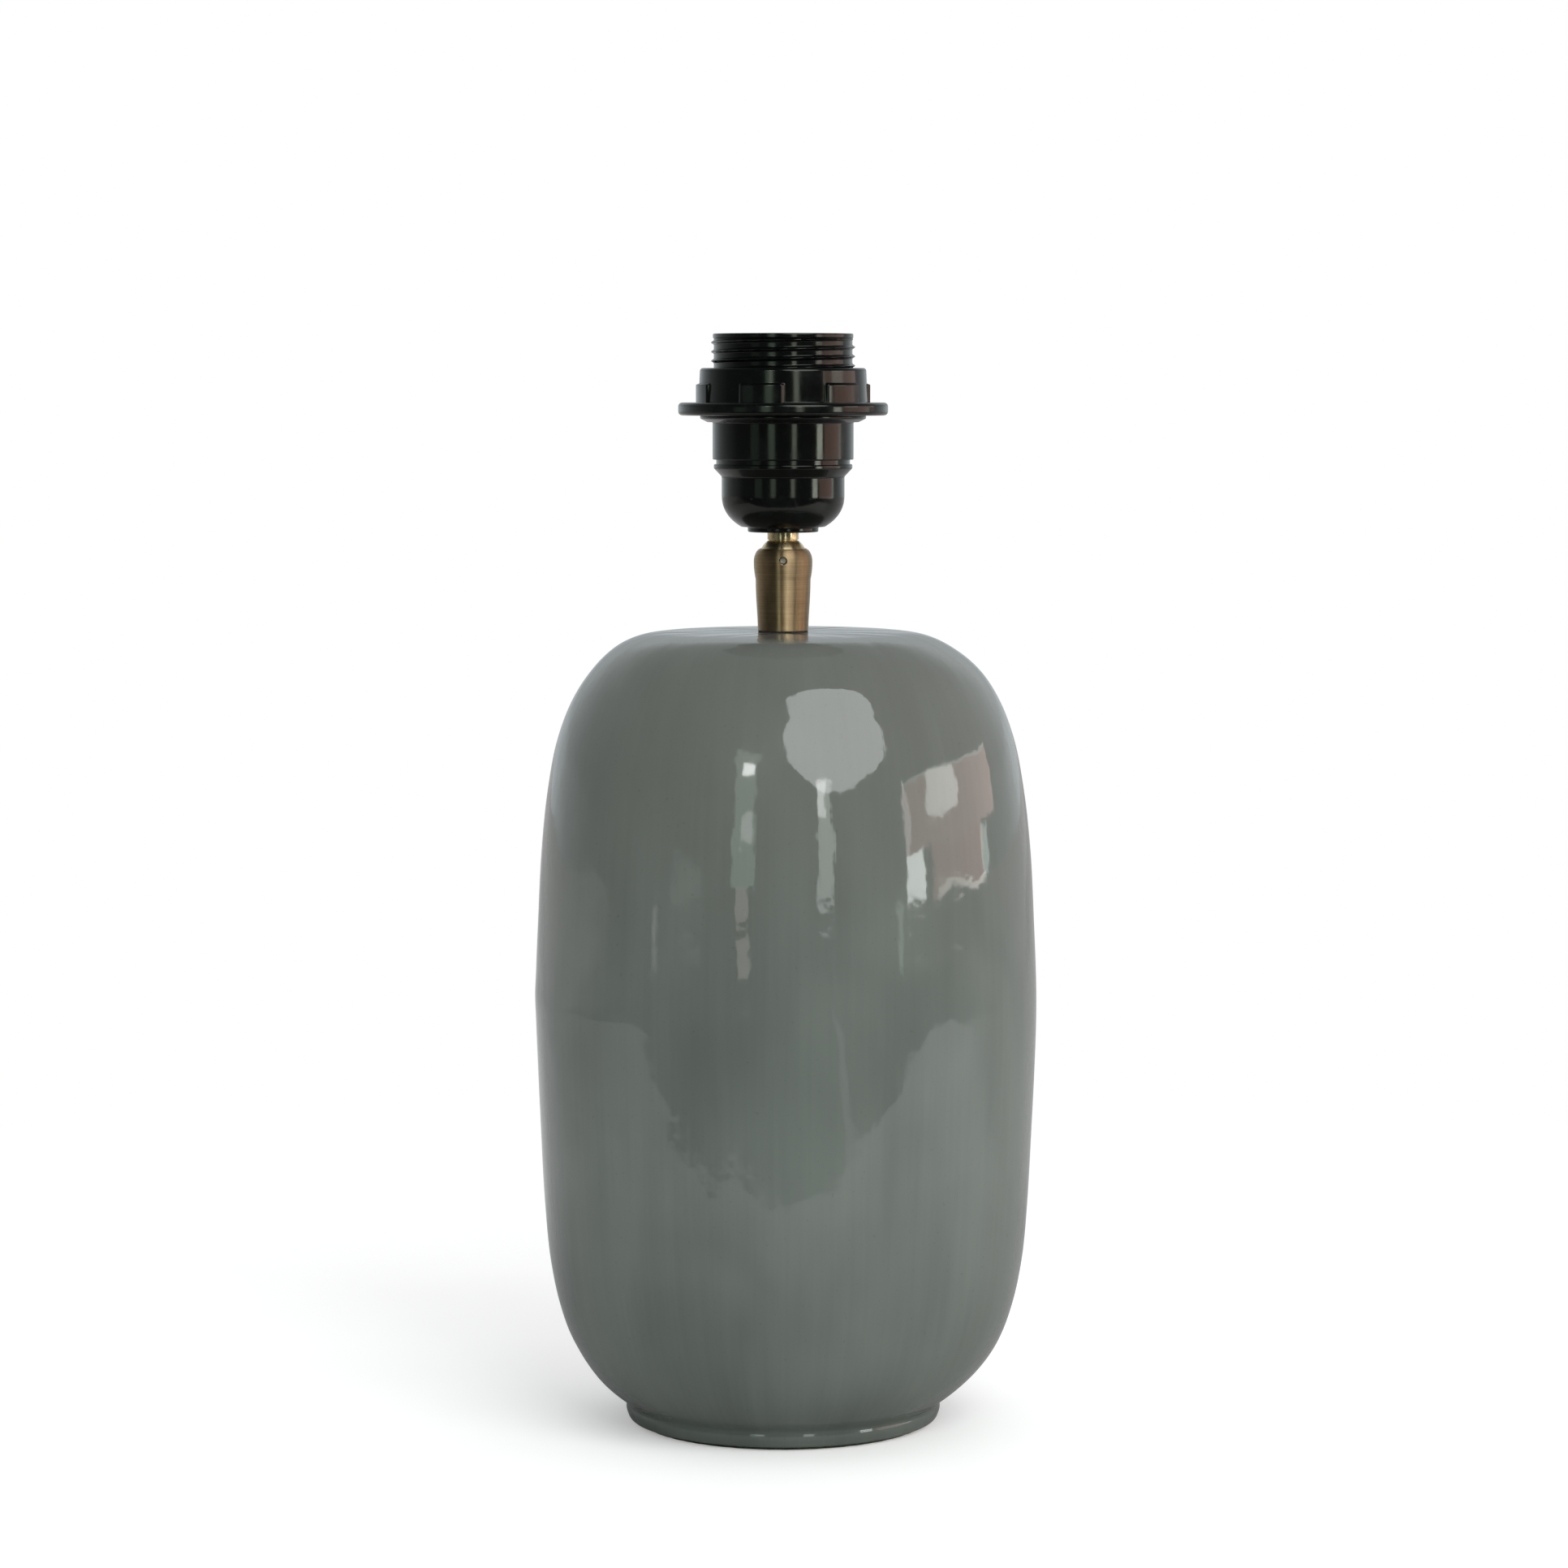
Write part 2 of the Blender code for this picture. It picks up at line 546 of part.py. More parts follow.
def make_cord_grommet(rubber):
    """The bush that lines the cord's hole, with a flange on each side of the wall."""
    middle, normal = outlet_frame()
    waist = BUSH_BORE_RADIUS + BUSH_WALL
    outer_face = BODY_WALL / 2 + GAP
    inner_face = inner_wall_reach(middle, normal) + GAP
    profile = [
        (BUSH_BORE_RADIUS, outer_face + BUSH_FLANGE_THICKNESS),
        (BUSH_FLANGE_RADIUS, outer_face + BUSH_FLANGE_THICKNESS),
        (BUSH_FLANGE_RADIUS, outer_face),
        (waist, outer_face),
        (waist, -inner_face),
        (BUSH_FLANGE_RADIUS, -inner_face),
        (BUSH_FLANGE_RADIUS, -inner_face - BUSH_FLANGE_THICKNESS),
        (BUSH_BORE_RADIUS, -inner_face - BUSH_FLANGE_THICKNESS),
    ]
    bush = sideways(lathe(profile, SMALL_SEGMENTS), middle, normal)
    return add_piece("cord_grommet", bush, rubber)


def make_felt_ring(felt):
    """The thin felt ring that is glued under the foot."""
    inner = FOOT_OPENING_RADIUS + FELT_MARGIN
    outer = FOOT_RADIUS - FOOT_ROLL_RADIUS - FELT_MARGIN / 2
    return add_piece("felt_ring", lathe(tube_profile(inner, outer, 0, FELT_THICKNESS), BODY_SEGMENTS), felt)


def make_fixing(rubber, steel, hidden):
    """Everything that clamps the swivel to the body: gasket, tube, washers and nut."""
    hole = WASHER_HOLE_RADIUS
    gasket = tube_profile(hole, SWIVEL_BASE_RADIUS + GASKET_OVERHANG, GASKET_Z, GASKET_Z + GASKET_THICKNESS)
    add_piece("top_gasket", lathe(gasket, BRASS_SEGMENTS), rubber)
    top = WALL_UNDER_SEAT_Z - GAP
    bottom = top - RUBBER_WASHER_THICKNESS
    washer = tube_profile(hole, hole + RUBBER_WASHER_WIDTH, bottom, top)
    add_piece("rubber_washer", lathe(washer, BRASS_SEGMENTS), rubber)
    top = bottom - GAP
    bottom = top - STEEL_WASHER_THICKNESS
    washer = tube_profile(hole, hole + STEEL_WASHER_WIDTH, bottom, top)
    add_piece("steel_washer", lathe(washer, BRASS_SEGMENTS), steel)
    top = bottom - GAP
    bottom = top - LOCK_WASHER_THICKNESS
    washer = lathe(tube_profile(hole, hole + LOCK_WASHER_WIDTH, bottom, top), SMALL_SEGMENTS)
    washer = add_piece("lock_washer", washer, steel)
    split = block((0, -LOCK_WASHER_SPLIT / 2, bottom - OVERRUN),
                  (hole + LOCK_WASHER_WIDTH + OVERRUN, LOCK_WASHER_SPLIT / 2, top + OVERRUN))
    combine(washer, add_cutter("lock_washer_split", split, hidden), "DIFFERENCE")
    top = bottom - GAP
    bottom = top - NUT_THICKNESS
    corner = (NIPPLE_RADIUS + NUT_WALL) * 2 / math.sqrt(3)
    nut = add_piece("hex_nut", rod(corner, bottom, top, 6), steel)
    bore = add_cutter("nut_bore", rod(hole, bottom - OVERRUN, top + OVERRUN, SMALL_SEGMENTS), hidden)
    combine(nut, bore, "DIFFERENCE")
    tail = bottom - NIPPLE_TAIL
    tip = SWIVEL_Z + SWIVEL_SOCKET_DEPTH
    tube = tube_profile(NIPPLE_BORE_RADIUS, NIPPLE_RADIUS, tail, tip)
    add_piece("threaded_nipple", lathe(tube, SMALL_SEGMENTS), steel)


def socket_arc(radius_low, radius_high, steps):
    """Arc of the ball's clearance sphere from a low radius round the equator to a high one."""
    first = -math.degrees(math.acos(radius_low / BALL_GAP_RADIUS))
    last = math.degrees(math.acos(radius_high / BALL_GAP_RADIUS))
    return arc((0, BALL_Z), (BALL_GAP_RADIUS, BALL_GAP_RADIUS), first, last, steps)


def make_swivel_body(brass, hidden):
    """The turned cup: tapering barrel, rounded rim closed over the ball, and the bores inside."""
    base = SWIVEL_Z
    mouth = math.sqrt(BALL_GAP_RADIUS ** 2 - SWIVEL_MOUTH_RISE ** 2)
    rim = (SWIVEL_RIM_RADIUS - mouth, SWIVEL_MOUTH_RISE + SWIVEL_RIM_DROP)
    profile = [(WASHER_HOLE_RADIUS, base), (SWIVEL_BASE_RADIUS, base)]
    profile += [(SWIVEL_WAIST_RADIUS, BALL_Z - SWIVEL_WAIST_DROP)]
    profile += arc((mouth, BALL_Z - SWIVEL_RIM_DROP), rim, 0, 90, ARC_STEPS - 1)
    profile += list(reversed(socket_arc(SWIVEL_WELL_RADIUS, mouth, ARC_STEPS)[:-1]))
    well = base + SWIVEL_SOCKET_DEPTH + GAP + SWIVEL_WEB
    profile += [(SWIVEL_WELL_RADIUS, well), (NIPPLE_BORE_RADIUS, well)]
    profile += [(NIPPLE_BORE_RADIUS, well - SWIVEL_WEB), (WASHER_HOLE_RADIUS, well - SWIVEL_WEB)]
    body = add_piece("swivel_body", lathe(profile, BRASS_SEGMENTS), brass)
    reach = SWIVEL_RIM_RADIUS + OVERRUN
    drill = rod(GRUB_SCREW_RADIUS + SCREW_GAP, BALL_RADIUS / 2, reach, SMALL_SEGMENTS)
    drill = add_cutter("grub_screw_drill", sideways(drill, BALL_CENTRE, (0, -1, 0)), hidden)
    combine(body, drill, "DIFFERENCE")
    return body


def make_grub_screw(steel, hidden):
    """The socket screw in the cup's front wall, level with the ball's centre."""
    face = SWIVEL_RIM_RADIUS - GRUB_SCREW_RECESS
    screw = rod(GRUB_SCREW_RADIUS, face - GRUB_SCREW_LENGTH, face, SMALL_SEGMENTS)
    screw = add_piece("grub_screw", sideways(screw, BALL_CENTRE, (0, -1, 0)), steel)
    key = rod(GRUB_SCREW_RADIUS / 2, face - GRUB_SCREW_LENGTH / 2, face + OVERRUN, 6)
    key = add_cutter("grub_screw_key", sideways(key, BALL_CENTRE, (0, -1, 0)), hidden)
    combine(screw, key, "DIFFERENCE")
    return screw


def make_ball_seating(brass, spring_steel, seat_parent):
    """The conical spring in the cup and the ring that it presses against the ball."""
    inner, outer = SEAT_BORE_RADIUS, SWIVEL_WELL_RADIUS - GAP
    floor = SWIVEL_Z + SPRING_FLOOR
    spring = [(inner, floor + SPRING_RISE), (inner, floor + SPRING_RISE + SPRING_THICKNESS)]
    spring += [(outer, floor + SPRING_THICKNESS), (outer, floor)]
    add_piece("disc_spring", lathe(spring, BRASS_SEGMENTS), spring_steel)
    low = SWIVEL_Z + SEAT_FLOOR
    first = -math.degrees(math.acos(inner / BALL_GAP_RADIUS))
    last = -math.degrees(math.acos(outer / BALL_GAP_RADIUS))
    contact = arc((0, BALL_Z), (BALL_GAP_RADIUS, BALL_GAP_RADIUS), last, first, 2)
    seat = [(inner, low), (outer, low)] + contact
    add_piece("ball_seat", lathe(seat, BRASS_SEGMENTS), brass, BALL_CENTRE, seat_parent)


def make_ball_stem(brass, parent):
    """The bored ball, its bright neck, and the thread that enters the cap."""
    foot_angle = -math.degrees(math.acos(BALL_FOOT_RADIUS / BALL_RADIUS))
    groove_angle = math.degrees(math.acos(STEM_GROOVE_RADIUS / BALL_RADIUS))
    foot_z = BALL_Z - math.sqrt(BALL_RADIUS ** 2 - BALL_FOOT_RADIUS ** 2)
    groove_top = BALL_Z + STEM_GROOVE_HEIGHT
    shoulder = CAP_Z + GAP
    tip = CAP_Z + CAP_THREAD_LENGTH
    profile = [(STEM_BORE_RADIUS, foot_z)]
    profile += arc((0, BALL_Z), (BALL_RADIUS, BALL_RADIUS), foot_angle, groove_angle, ARC_STEPS + 2)
    profile += [(STEM_GROOVE_RADIUS, groove_top), (STEM_NECK_RADIUS, groove_top)]
    profile += [(STEM_NECK_RADIUS, shoulder), (STEM_THREAD_RADIUS, shoulder)]
    profile += [(STEM_THREAD_RADIUS, tip), (STEM_BORE_RADIUS, tip)]
    add_piece("ball_stem", lathe(profile, BRASS_SEGMENTS), brass, BALL_CENTRE, parent)


def make_holder_cap(plastic, hidden, parent):
    """The domed cap: collar, dome, flared lip, and the shelf and threaded boss inside."""
    dome = (0, CAP_Z + CAP_DOME_CENTRE)
    dome_radii = (CAP_DOME_RADIUS, CAP_DOME_RISE)
    dome_start = -math.degrees(math.acos(CAP_COLLAR_RADIUS / CAP_DOME_RADIUS))
    inner_radii = (CAP_DOME_RADIUS - CAP_WALL, CAP_DOME_RISE - CAP_WALL)
    inner_start = -math.degrees(math.acos(CAP_BOSS_RADIUS / inner_radii[0]))
    bore = STEM_THREAD_RADIUS + GAP
    top, shelf = CAP_Z + CAP_HEIGHT, CAP_Z + CAP_SHELF_HEIGHT
    boss_top = CAP_Z + CAP_BOSS_HEIGHT
    profile = [(bore, CAP_Z), (CAP_COLLAR_RADIUS, CAP_Z)]
    profile += arc(dome, dome_radii, dome_start, 0)
    profile += [(CAP_DOME_RADIUS, CAP_Z + CAP_FLARE_START), (CAP_LIP_RADIUS, CAP_Z + CAP_FLARE_END)]
    profile += [(CAP_LIP_RADIUS, top - CAP_LIP_EDGE), (CAP_LIP_RADIUS - CAP_LIP_EDGE, top)]
    profile += [(CAP_MOUTH_RADIUS, top), (CAP_MOUTH_RADIUS, shelf), (CAP_SHELF_RADIUS, shelf)]
    under_shelf = shelf - CAP_SHELF_THICKNESS
    profile += [(CAP_SHELF_RADIUS, under_shelf), (inner_radii[0], under_shelf)]
    profile += list(reversed(arc(dome, inner_radii, inner_start, 0, ARC_STEPS - 2)))
    profile += [(CAP_BOSS_RADIUS, boss_top), (bore, boss_top)]
    cap = add_piece("holder_cap", lathe(profile, HOLDER_SEGMENTS), plastic, BALL_CENTRE, parent)
    place = Vector((0, 0, CAP_Z + ENTRY_SCREW_HEIGHT))
    drill = rod(ENTRY_SCREW_RADIUS + GAP, bore - CAP_BOSS_WALL, CAP_BOSS_RADIUS + GAP, SMALL_SEGMENTS)
    drill = add_cutter("entry_screw_drill", sideways(drill, place, (0, 1, 0)), hidden)
    combine(cap, drill, "DIFFERENCE")


def slot_cutter(radius, face):
    """A bar across a screw's end face, which lies at a height on its own axis."""
    reach = radius + OVERRUN
    return block((-reach, -SLOT_WIDTH / 2, face - SLOT_DEPTH), (reach, SLOT_WIDTH / 2, face + OVERRUN))


def make_entry_lock_screw(steel, hidden, parent):
    """The slotted screw through the cap's boss that locks it to the stem's thread."""
    place = Vector((0, 0, CAP_Z + ENTRY_SCREW_HEIGHT))
    tip = STEM_THREAD_RADIUS + GAP
    screw = rod(ENTRY_SCREW_RADIUS, tip, tip + ENTRY_SCREW_LENGTH, SMALL_SEGMENTS)
    screw = sideways(screw, place, (0, 1, 0))
    screw = add_piece("entry_lock_screw", screw, steel, BALL_CENTRE, parent)
    slot = slot_cutter(ENTRY_SCREW_RADIUS, tip + ENTRY_SCREW_LENGTH)
    slot = add_cutter("entry_screw_slot", sideways(slot, place, (0, 1, 0)), hidden)
    combine(screw, slot, "DIFFERENCE")


def make_holder_skirt(plastic, hidden, parent):
    """The outer skirt: spigot, housing, shoulder and threaded barrel, bored through with a ledge."""
    core = THREAD_ROOT_RADIUS - GAP
    housing_top = SKIRT_Z + STEP_HEIGHT + HOUSING_HEIGHT
    profile = [(0, SKIRT_Z - SPIGOT_LENGTH), (SPIGOT_RADIUS, SKIRT_Z - SPIGOT_LENGTH)]
    profile += [(SPIGOT_RADIUS, SKIRT_Z), (STEP_RADIUS, SKIRT_Z), (STEP_RADIUS, SKIRT_Z + STEP_HEIGHT)]
    profile += [(HOUSING_RADIUS, SKIRT_Z + STEP_HEIGHT), (HOUSING_RADIUS, housing_top)]
    profile += [(SHOULDER_UNDERCUT_RADIUS, housing_top), (SHOULDER_RADIUS, housing_top + SHOULDER_TAPER)]
    profile += [(SHOULDER_RADIUS, SHOULDER_Z), (core, SHOULDER_Z), (core, THREAD_TOP_Z)]
    profile += [(RIM_RADIUS, THREAD_TOP_Z), (RIM_RADIUS, RIM_Z - RIM_EDGE), (RIM_RADIUS - RIM_EDGE, RIM_Z)]
    profile += [(0, RIM_Z)]
    skirt = add_piece("holder_skirt", lathe(profile, HOLDER_SEGMENTS), plastic, BALL_CENTRE, parent)
    low, middle, high = RIDGE_SHARES
    ridge = [(low, THREAD_ROOT_RADIUS), (middle, THREAD_CREST_RADIUS), (high, THREAD_ROOT_RADIUS)]
    barrel = threaded_rod(ridge, THREAD_PITCH, SHOULDER_Z - SHOULDER_THICKNESS / 2,
                          THREAD_TOP_Z + RIM_HEIGHT / 2, HOLDER_SEGMENTS)
    combine(skirt, add_cutter("skirt_thread", barrel, hidden), "UNION")
    ledge_top = LEDGE_Z + LEDGE_THICKNESS
    bore = [(0, SKIRT_Z - SPIGOT_LENGTH - OVERRUN), (SPIGOT_BORE_RADIUS, SKIRT_Z - SPIGOT_LENGTH - OVERRUN)]
    bore += [(SPIGOT_BORE_RADIUS, LEDGE_Z), (LEDGE_RADIUS, LEDGE_Z), (LEDGE_RADIUS, ledge_top)]
    bore += [(SKIRT_BORE_RADIUS, ledge_top), (SKIRT_BORE_RADIUS, RIM_Z + OVERRUN), (0, RIM_Z + OVERRUN)]
    combine(skirt, add_cutter("skirt_bore", lathe(bore, HOLDER_SEGMENTS), hidden), "DIFFERENCE")


def make_insulator_core(phenolic, hidden, parent):
    """The core: flange, shell seat and boss, with pockets for terminals, strap and rivet."""
    flange_top = LEDGE_Z - GAP
    seat = CORE_Z + CORE_SHELL_SEAT_HEIGHT
    profile = [(0, CORE_Z), (CORE_FLANGE_RADIUS, CORE_Z), (CORE_FLANGE_RADIUS, flange_top)]
    profile += [(CORE_NECK_RADIUS, flange_top), (CORE_NECK_RADIUS, seat), (CORE_BOSS_RADIUS, seat)]
    profile += [(CORE_BOSS_RADIUS, CORE_BOSS_Z), (0, CORE_BOSS_Z)]
    core = add_piece("insulator_core", lathe(profile, HOLDER_SEGMENTS), phenolic, BALL_CENTRE, parent)
    half = TERMINAL_LENGTH / 2 + GAP
    side = TERMINAL_WIDTH / 2 + GAP
    roof = TERMINAL_Z + TERMINAL_HEIGHT + GAP
    for name, sign in (("neutral_pocket", 1), ("live_pocket", -1)):
        middle = sign * TERMINAL_OFFSET
        pocket = block((middle - half, -side, CORE_Z - OVERRUN), (middle + half, side, roof))
        combine(core, add_cutter(name, pocket, hidden), "DIFFERENCE")
    outer = TERMINAL_OFFSET + TERMINAL_LENGTH / 2 + GAP
    slot = block((outer - STRAP_THICKNESS - 2 * GAP, -side, CORE_Z), (outer, side, CORE_BOSS_Z + OVERRUN))
    combine(core, add_cutter("strap_slot", slot, hidden), "DIFFERENCE")
    hole = rod(RIVET_SHANK_RADIUS + GAP, CORE_Z, CORE_BOSS_Z + OVERRUN, SMALL_SEGMENTS)
    bmesh.ops.translate(hole, verts=hole.verts, vec=(LEAF_PIVOT_X, 0, 0))
    combine(core, add_cutter("rivet_hole", hole, hidden), "DIFFERENCE")


def make_screw_shell(brass, parent):
    """The rolled brass shell, whose rounded thread takes the lamp's cap."""
    middle = (SHELL_MAJOR_RADIUS + SHELL_MINOR_RADIUS) / 2
    swing = (SHELL_MAJOR_RADIUS - SHELL_MINOR_RADIUS) / 2
    shares = [phase / SHELL_PHASES for phase in range(SHELL_PHASES)]
    wave = [(share, middle - swing * math.cos(2 * math.pi * share)) for share in shares]
    skin = thread_skin(wave, SHELL_PITCH, SHELL_Z, SHELL_Z + SHELL_LENGTH, SHELL_SEGMENTS)
    shell = add_piece("screw_shell", skin, brass, BALL_CENTRE, parent)
    sheet = shell.modifiers.new("sheet", "SOLIDIFY")
    sheet.thickness = SHELL_SHEET
    sheet.offset = 1.0
    sheet.use_even_offset = True


def make_terminals(brass, steel, hidden, parent):
    """The two terminals, the neutral one's strap to the shell, and their screws."""
    half = TERMINAL_LENGTH / 2
    low, high = TERMINAL_Z, TERMINAL_Z + TERMINAL_HEIGHT
    outer = TERMINAL_OFFSET + half
    strap_top = CORE_BOSS_Z + STRAP_HEIGHT
    outline = [(outer, low), (outer, strap_top), (outer - STRAP_THICKNESS, strap_top)]
    outline += [(outer - STRAP_THICKNESS, high)]
    outline += [(TERMINAL_OFFSET - half, high), (TERMINAL_OFFSET - half, low)]
    neutral = extrude_outline(outline, TERMINAL_WIDTH)
    neutral = add_piece("neutral_terminal", neutral, brass, BALL_CENTRE, parent)
    live = block((-outer, -TERMINAL_WIDTH / 2, low), (half - TERMINAL_OFFSET, TERMINAL_WIDTH / 2, high))
    live = add_piece("live_terminal", live, brass, BALL_CENTRE, parent)
    head_low = low - GAP - TERMINAL_HEAD_THICKNESS
    reach = TERMINAL_HEAD_RADIUS + OVERRUN / 2
    for terminal, side, sign in ((neutral, "neutral", 1), (live, "live", -1)):
        aside = (sign * TERMINAL_OFFSET, 0, 0)
        tip = low + TERMINAL_SCREW_LENGTH
        tapping = rod(TERMINAL_SCREW_RADIUS + SCREW_GAP, low - OVERRUN, tip, SMALL_SEGMENTS)
        bmesh.ops.translate(tapping, verts=tapping.verts, vec=aside)
        combine(terminal, add_cutter(side + "_tapping", tapping, hidden), "DIFFERENCE")
        outline = [(0, head_low), (TERMINAL_HEAD_RADIUS, head_low), (TERMINAL_HEAD_RADIUS, low - GAP)]
        outline += [(TERMINAL_SCREW_RADIUS, low - GAP), (TERMINAL_SCREW_RADIUS, tip - GAP), (0, tip - GAP)]
        screw = lathe(outline, SMALL_SEGMENTS)
        bmesh.ops.translate(screw, verts=screw.verts, vec=aside)
        screw = add_piece(side + "_terminal_screw", screw, steel, BALL_CENTRE, parent)
        slot = block((-reach, -SLOT_WIDTH / 2, head_low - OVERRUN),
                     (reach, SLOT_WIDTH / 2, head_low + SLOT_DEPTH))
        bmesh.ops.translate(slot, verts=slot.verts, vec=aside)
        combine(screw, add_cutter(side + "_screw_slot", slot, hidden), "DIFFERENCE")


def make_contact_rivet(brass, parent):
    """The rivet that joins the leaf, through the core, to the live terminal."""
    head = LEAF_Z + LEAF_THICKNESS + LEAF_PLAY
    foot = TERMINAL_Z + TERMINAL_HEIGHT + GAP
    profile = [(0, foot), (RIVET_SHANK_RADIUS, foot), (RIVET_SHANK_RADIUS, head), (RIVET_HEAD_RADIUS, head)]
    profile += [(RIVET_HEAD_RADIUS, head + RIVET_HEAD_THICKNESS / 2)]
    profile += [(RIVET_HEAD_RADIUS - RIVET_HEAD_THICKNESS / 2, head + RIVET_HEAD_THICKNESS)]
    profile += [(0, head + RIVET_HEAD_THICKNESS)]
    rivet = lathe(profile, SMALL_SEGMENTS)
    bmesh.ops.translate(rivet, verts=rivet.verts, vec=(LEAF_PIVOT_X, 0, 0))
    add_piece("contact_rivet", rivet, brass, BALL_CENTRE, parent)


def make_centre_contact(bronze, hidden, parent):
    """The sprung leaf: a foot under the rivet, a ramp, and a crown under the lamp's cap."""
    foot = LEAF_PIVOT_X - LEAF_TAIL
    bend = LEAF_PIVOT_X + LEAF_FLAT
    crown = LEAF_Z + LEAF_RISE
    line = [(foot, LEAF_Z), (bend, LEAF_Z), (-LEAF_CROWN_HALF, crown), (LEAF_CROWN_HALF, crown)]
    line += [(LEAF_TIP_REACH, crown - LEAF_TIP_DROP)]
    upper = [(x, z + LEAF_THICKNESS) for x, z in line]
    strip = extrude_outline(line + list(reversed(upper)), LEAF_WIDTH)
    leaf = add_piece("centre_contact", strip, bronze, LEAF_PIVOT, parent)
    hole = rod(RIVET_SHANK_RADIUS + LEAF_PLAY, LEAF_Z - OVERRUN / 2, LEAF_Z + OVERRUN / 2, SMALL_SEGMENTS)
    bmesh.ops.translate(hole, verts=hole.verts, vec=(LEAF_PIVOT_X, 0, 0))
    combine(leaf, add_cutter("leaf_hole", hole, hidden), "DIFFERENCE")


def make_shade_ring(plastic, hidden, parent):
    """The screwed ring: flange, barrel and grips, bored to clear the skirt's thread."""
    bore = RING_BORE_RADIUS
    edge = RING_FLANGE_EDGE
    flange_top = RING_Z + RING_FLANGE_THICKNESS
    profile = [(bore, RING_Z)]
    profile += arc((RING_FLANGE_RADIUS - edge, RING_Z + edge), (edge, edge), -90, 0, 2)
    profile += arc((RING_FLANGE_RADIUS - edge, flange_top - edge), (edge, edge), 0, 90, 2)
    profile += [(RING_NECK_RADIUS, flange_top), (RING_TOP_RADIUS, RING_Z + RING_HEIGHT - RING_TOP_EDGE)]
    profile += [(RING_TOP_RADIUS - RING_TOP_EDGE, RING_Z + RING_HEIGHT), (bore, RING_Z + RING_HEIGHT)]
    ring = add_piece("shade_ring", lathe(profile, HOLDER_SEGMENTS), plastic, RING_CENTRE, parent)
    grip = tube_profile(RING_NECK_RADIUS - RING_GRIP_BITE, RING_GRIP_RADIUS,
                        flange_top - RING_GRIP_BITE, RING_Z + RING_GRIP_TOP)
    width = math.pi / RING_GRIPS
    steps = HOLDER_SEGMENTS // (2 * RING_GRIPS)
    grips = [lathe(grip, steps, width, 2 * width * turn - math.pi / 2 - width) for turn in range(RING_GRIPS)]
    combine(ring, add_cutter("ring_grips", merged(*grips), hidden), "UNION")


def build():
    """Builds the lamp base, from the foot up."""
    clear_scene()
    glaze = finish("glaze", (0.135, 0.150, 0.138), 0.12)
    felt = finish("felt", (0.030, 0.045, 0.032), 0.95)
    rubber = finish("rubber", (0.012, 0.012, 0.012), 0.7)
    brass = finish("aged_brass", (0.30, 0.20, 0.095), 0.32, 1.0)
    bright = finish("bright_brass", (0.72, 0.56, 0.28), 0.2, 1.0)
    steel = finish("zinc_steel", (0.55, 0.55, 0.53), 0.35, 1.0)
    plastic = finish("black_plastic", (0.012, 0.013, 0.012), 0.22)
    phenolic = finish("phenolic", (0.055, 0.030, 0.018), 0.4)
    bronze = finish("spring_bronze", (0.62, 0.38, 0.20), 0.3, 1.0)
    hidden = finish("guide", (0.8, 0.1, 0.1), 0.5)

    turn_axis = axis_marker("swivel_turn_axis", BALL_CENTRE)
    tilt_axis = axis_marker("swivel_tilt_axis", BALL_CENTRE, turn_axis)

    make_ceramic_body(glaze, hidden)
    make_felt_ring(felt)
    make_cord_grommet(rubber)
    make_fixing(rubber, steel, hidden)
    make_swivel_body(brass, hidden)
    make_grub_screw(steel, hidden)
    make_ball_seating(brass, steel, turn_axis)
    make_ball_stem(bright, tilt_axis)
    make_holder_cap(plastic, hidden, tilt_axis)
    make_entry_lock_screw(steel, hidden, tilt_axis)
    make_holder_skirt(plastic, hidden, tilt_axis)
    make_insulator_core(phenolic, hidden, tilt_axis)
    make_screw_shell(bright, tilt_axis)
    make_terminals(bright, steel, hidden, tilt_axis)
    make_contact_rivet(bright, tilt_axis)
    make_centre_contact(bronze, hidden, tilt_axis)
    make_shade_ring(plastic, hidden, tilt_axis)


if __name__ == "__main__":
    build()
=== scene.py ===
"""A glazed ceramic table lamp base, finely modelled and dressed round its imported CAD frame.

Sizes are in millimetres and +Z is up, as on a maker's drawing, until a mesh is written in metres.
The front is towards -Y, and every turned piece shares the lamp's axis, which is Z.
A profile is a closed loop of (radius, height) points, and an angle is measured from +X towards +Y.
"""
import logging
import math
from dataclasses import dataclass, field
from enum import Enum
from functools import cache
from typing import Any, Callable

import bmesh
import bpy
import numpy as np
from mathutils import Matrix, Vector


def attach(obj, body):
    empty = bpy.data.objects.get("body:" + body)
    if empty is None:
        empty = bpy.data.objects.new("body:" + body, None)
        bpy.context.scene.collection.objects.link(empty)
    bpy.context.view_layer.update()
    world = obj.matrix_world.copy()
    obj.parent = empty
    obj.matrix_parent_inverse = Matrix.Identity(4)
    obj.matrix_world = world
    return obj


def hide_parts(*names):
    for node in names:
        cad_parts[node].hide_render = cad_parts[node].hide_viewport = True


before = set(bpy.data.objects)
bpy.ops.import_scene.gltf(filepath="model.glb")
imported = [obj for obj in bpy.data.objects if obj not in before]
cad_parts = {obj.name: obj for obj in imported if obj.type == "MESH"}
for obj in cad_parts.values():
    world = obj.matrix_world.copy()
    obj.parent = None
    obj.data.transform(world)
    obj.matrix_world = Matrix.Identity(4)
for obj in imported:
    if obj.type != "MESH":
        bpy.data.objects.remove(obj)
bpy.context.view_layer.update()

log = logging.getLogger("lamp_base")

MM = 0.001
TURN = 2 * math.pi

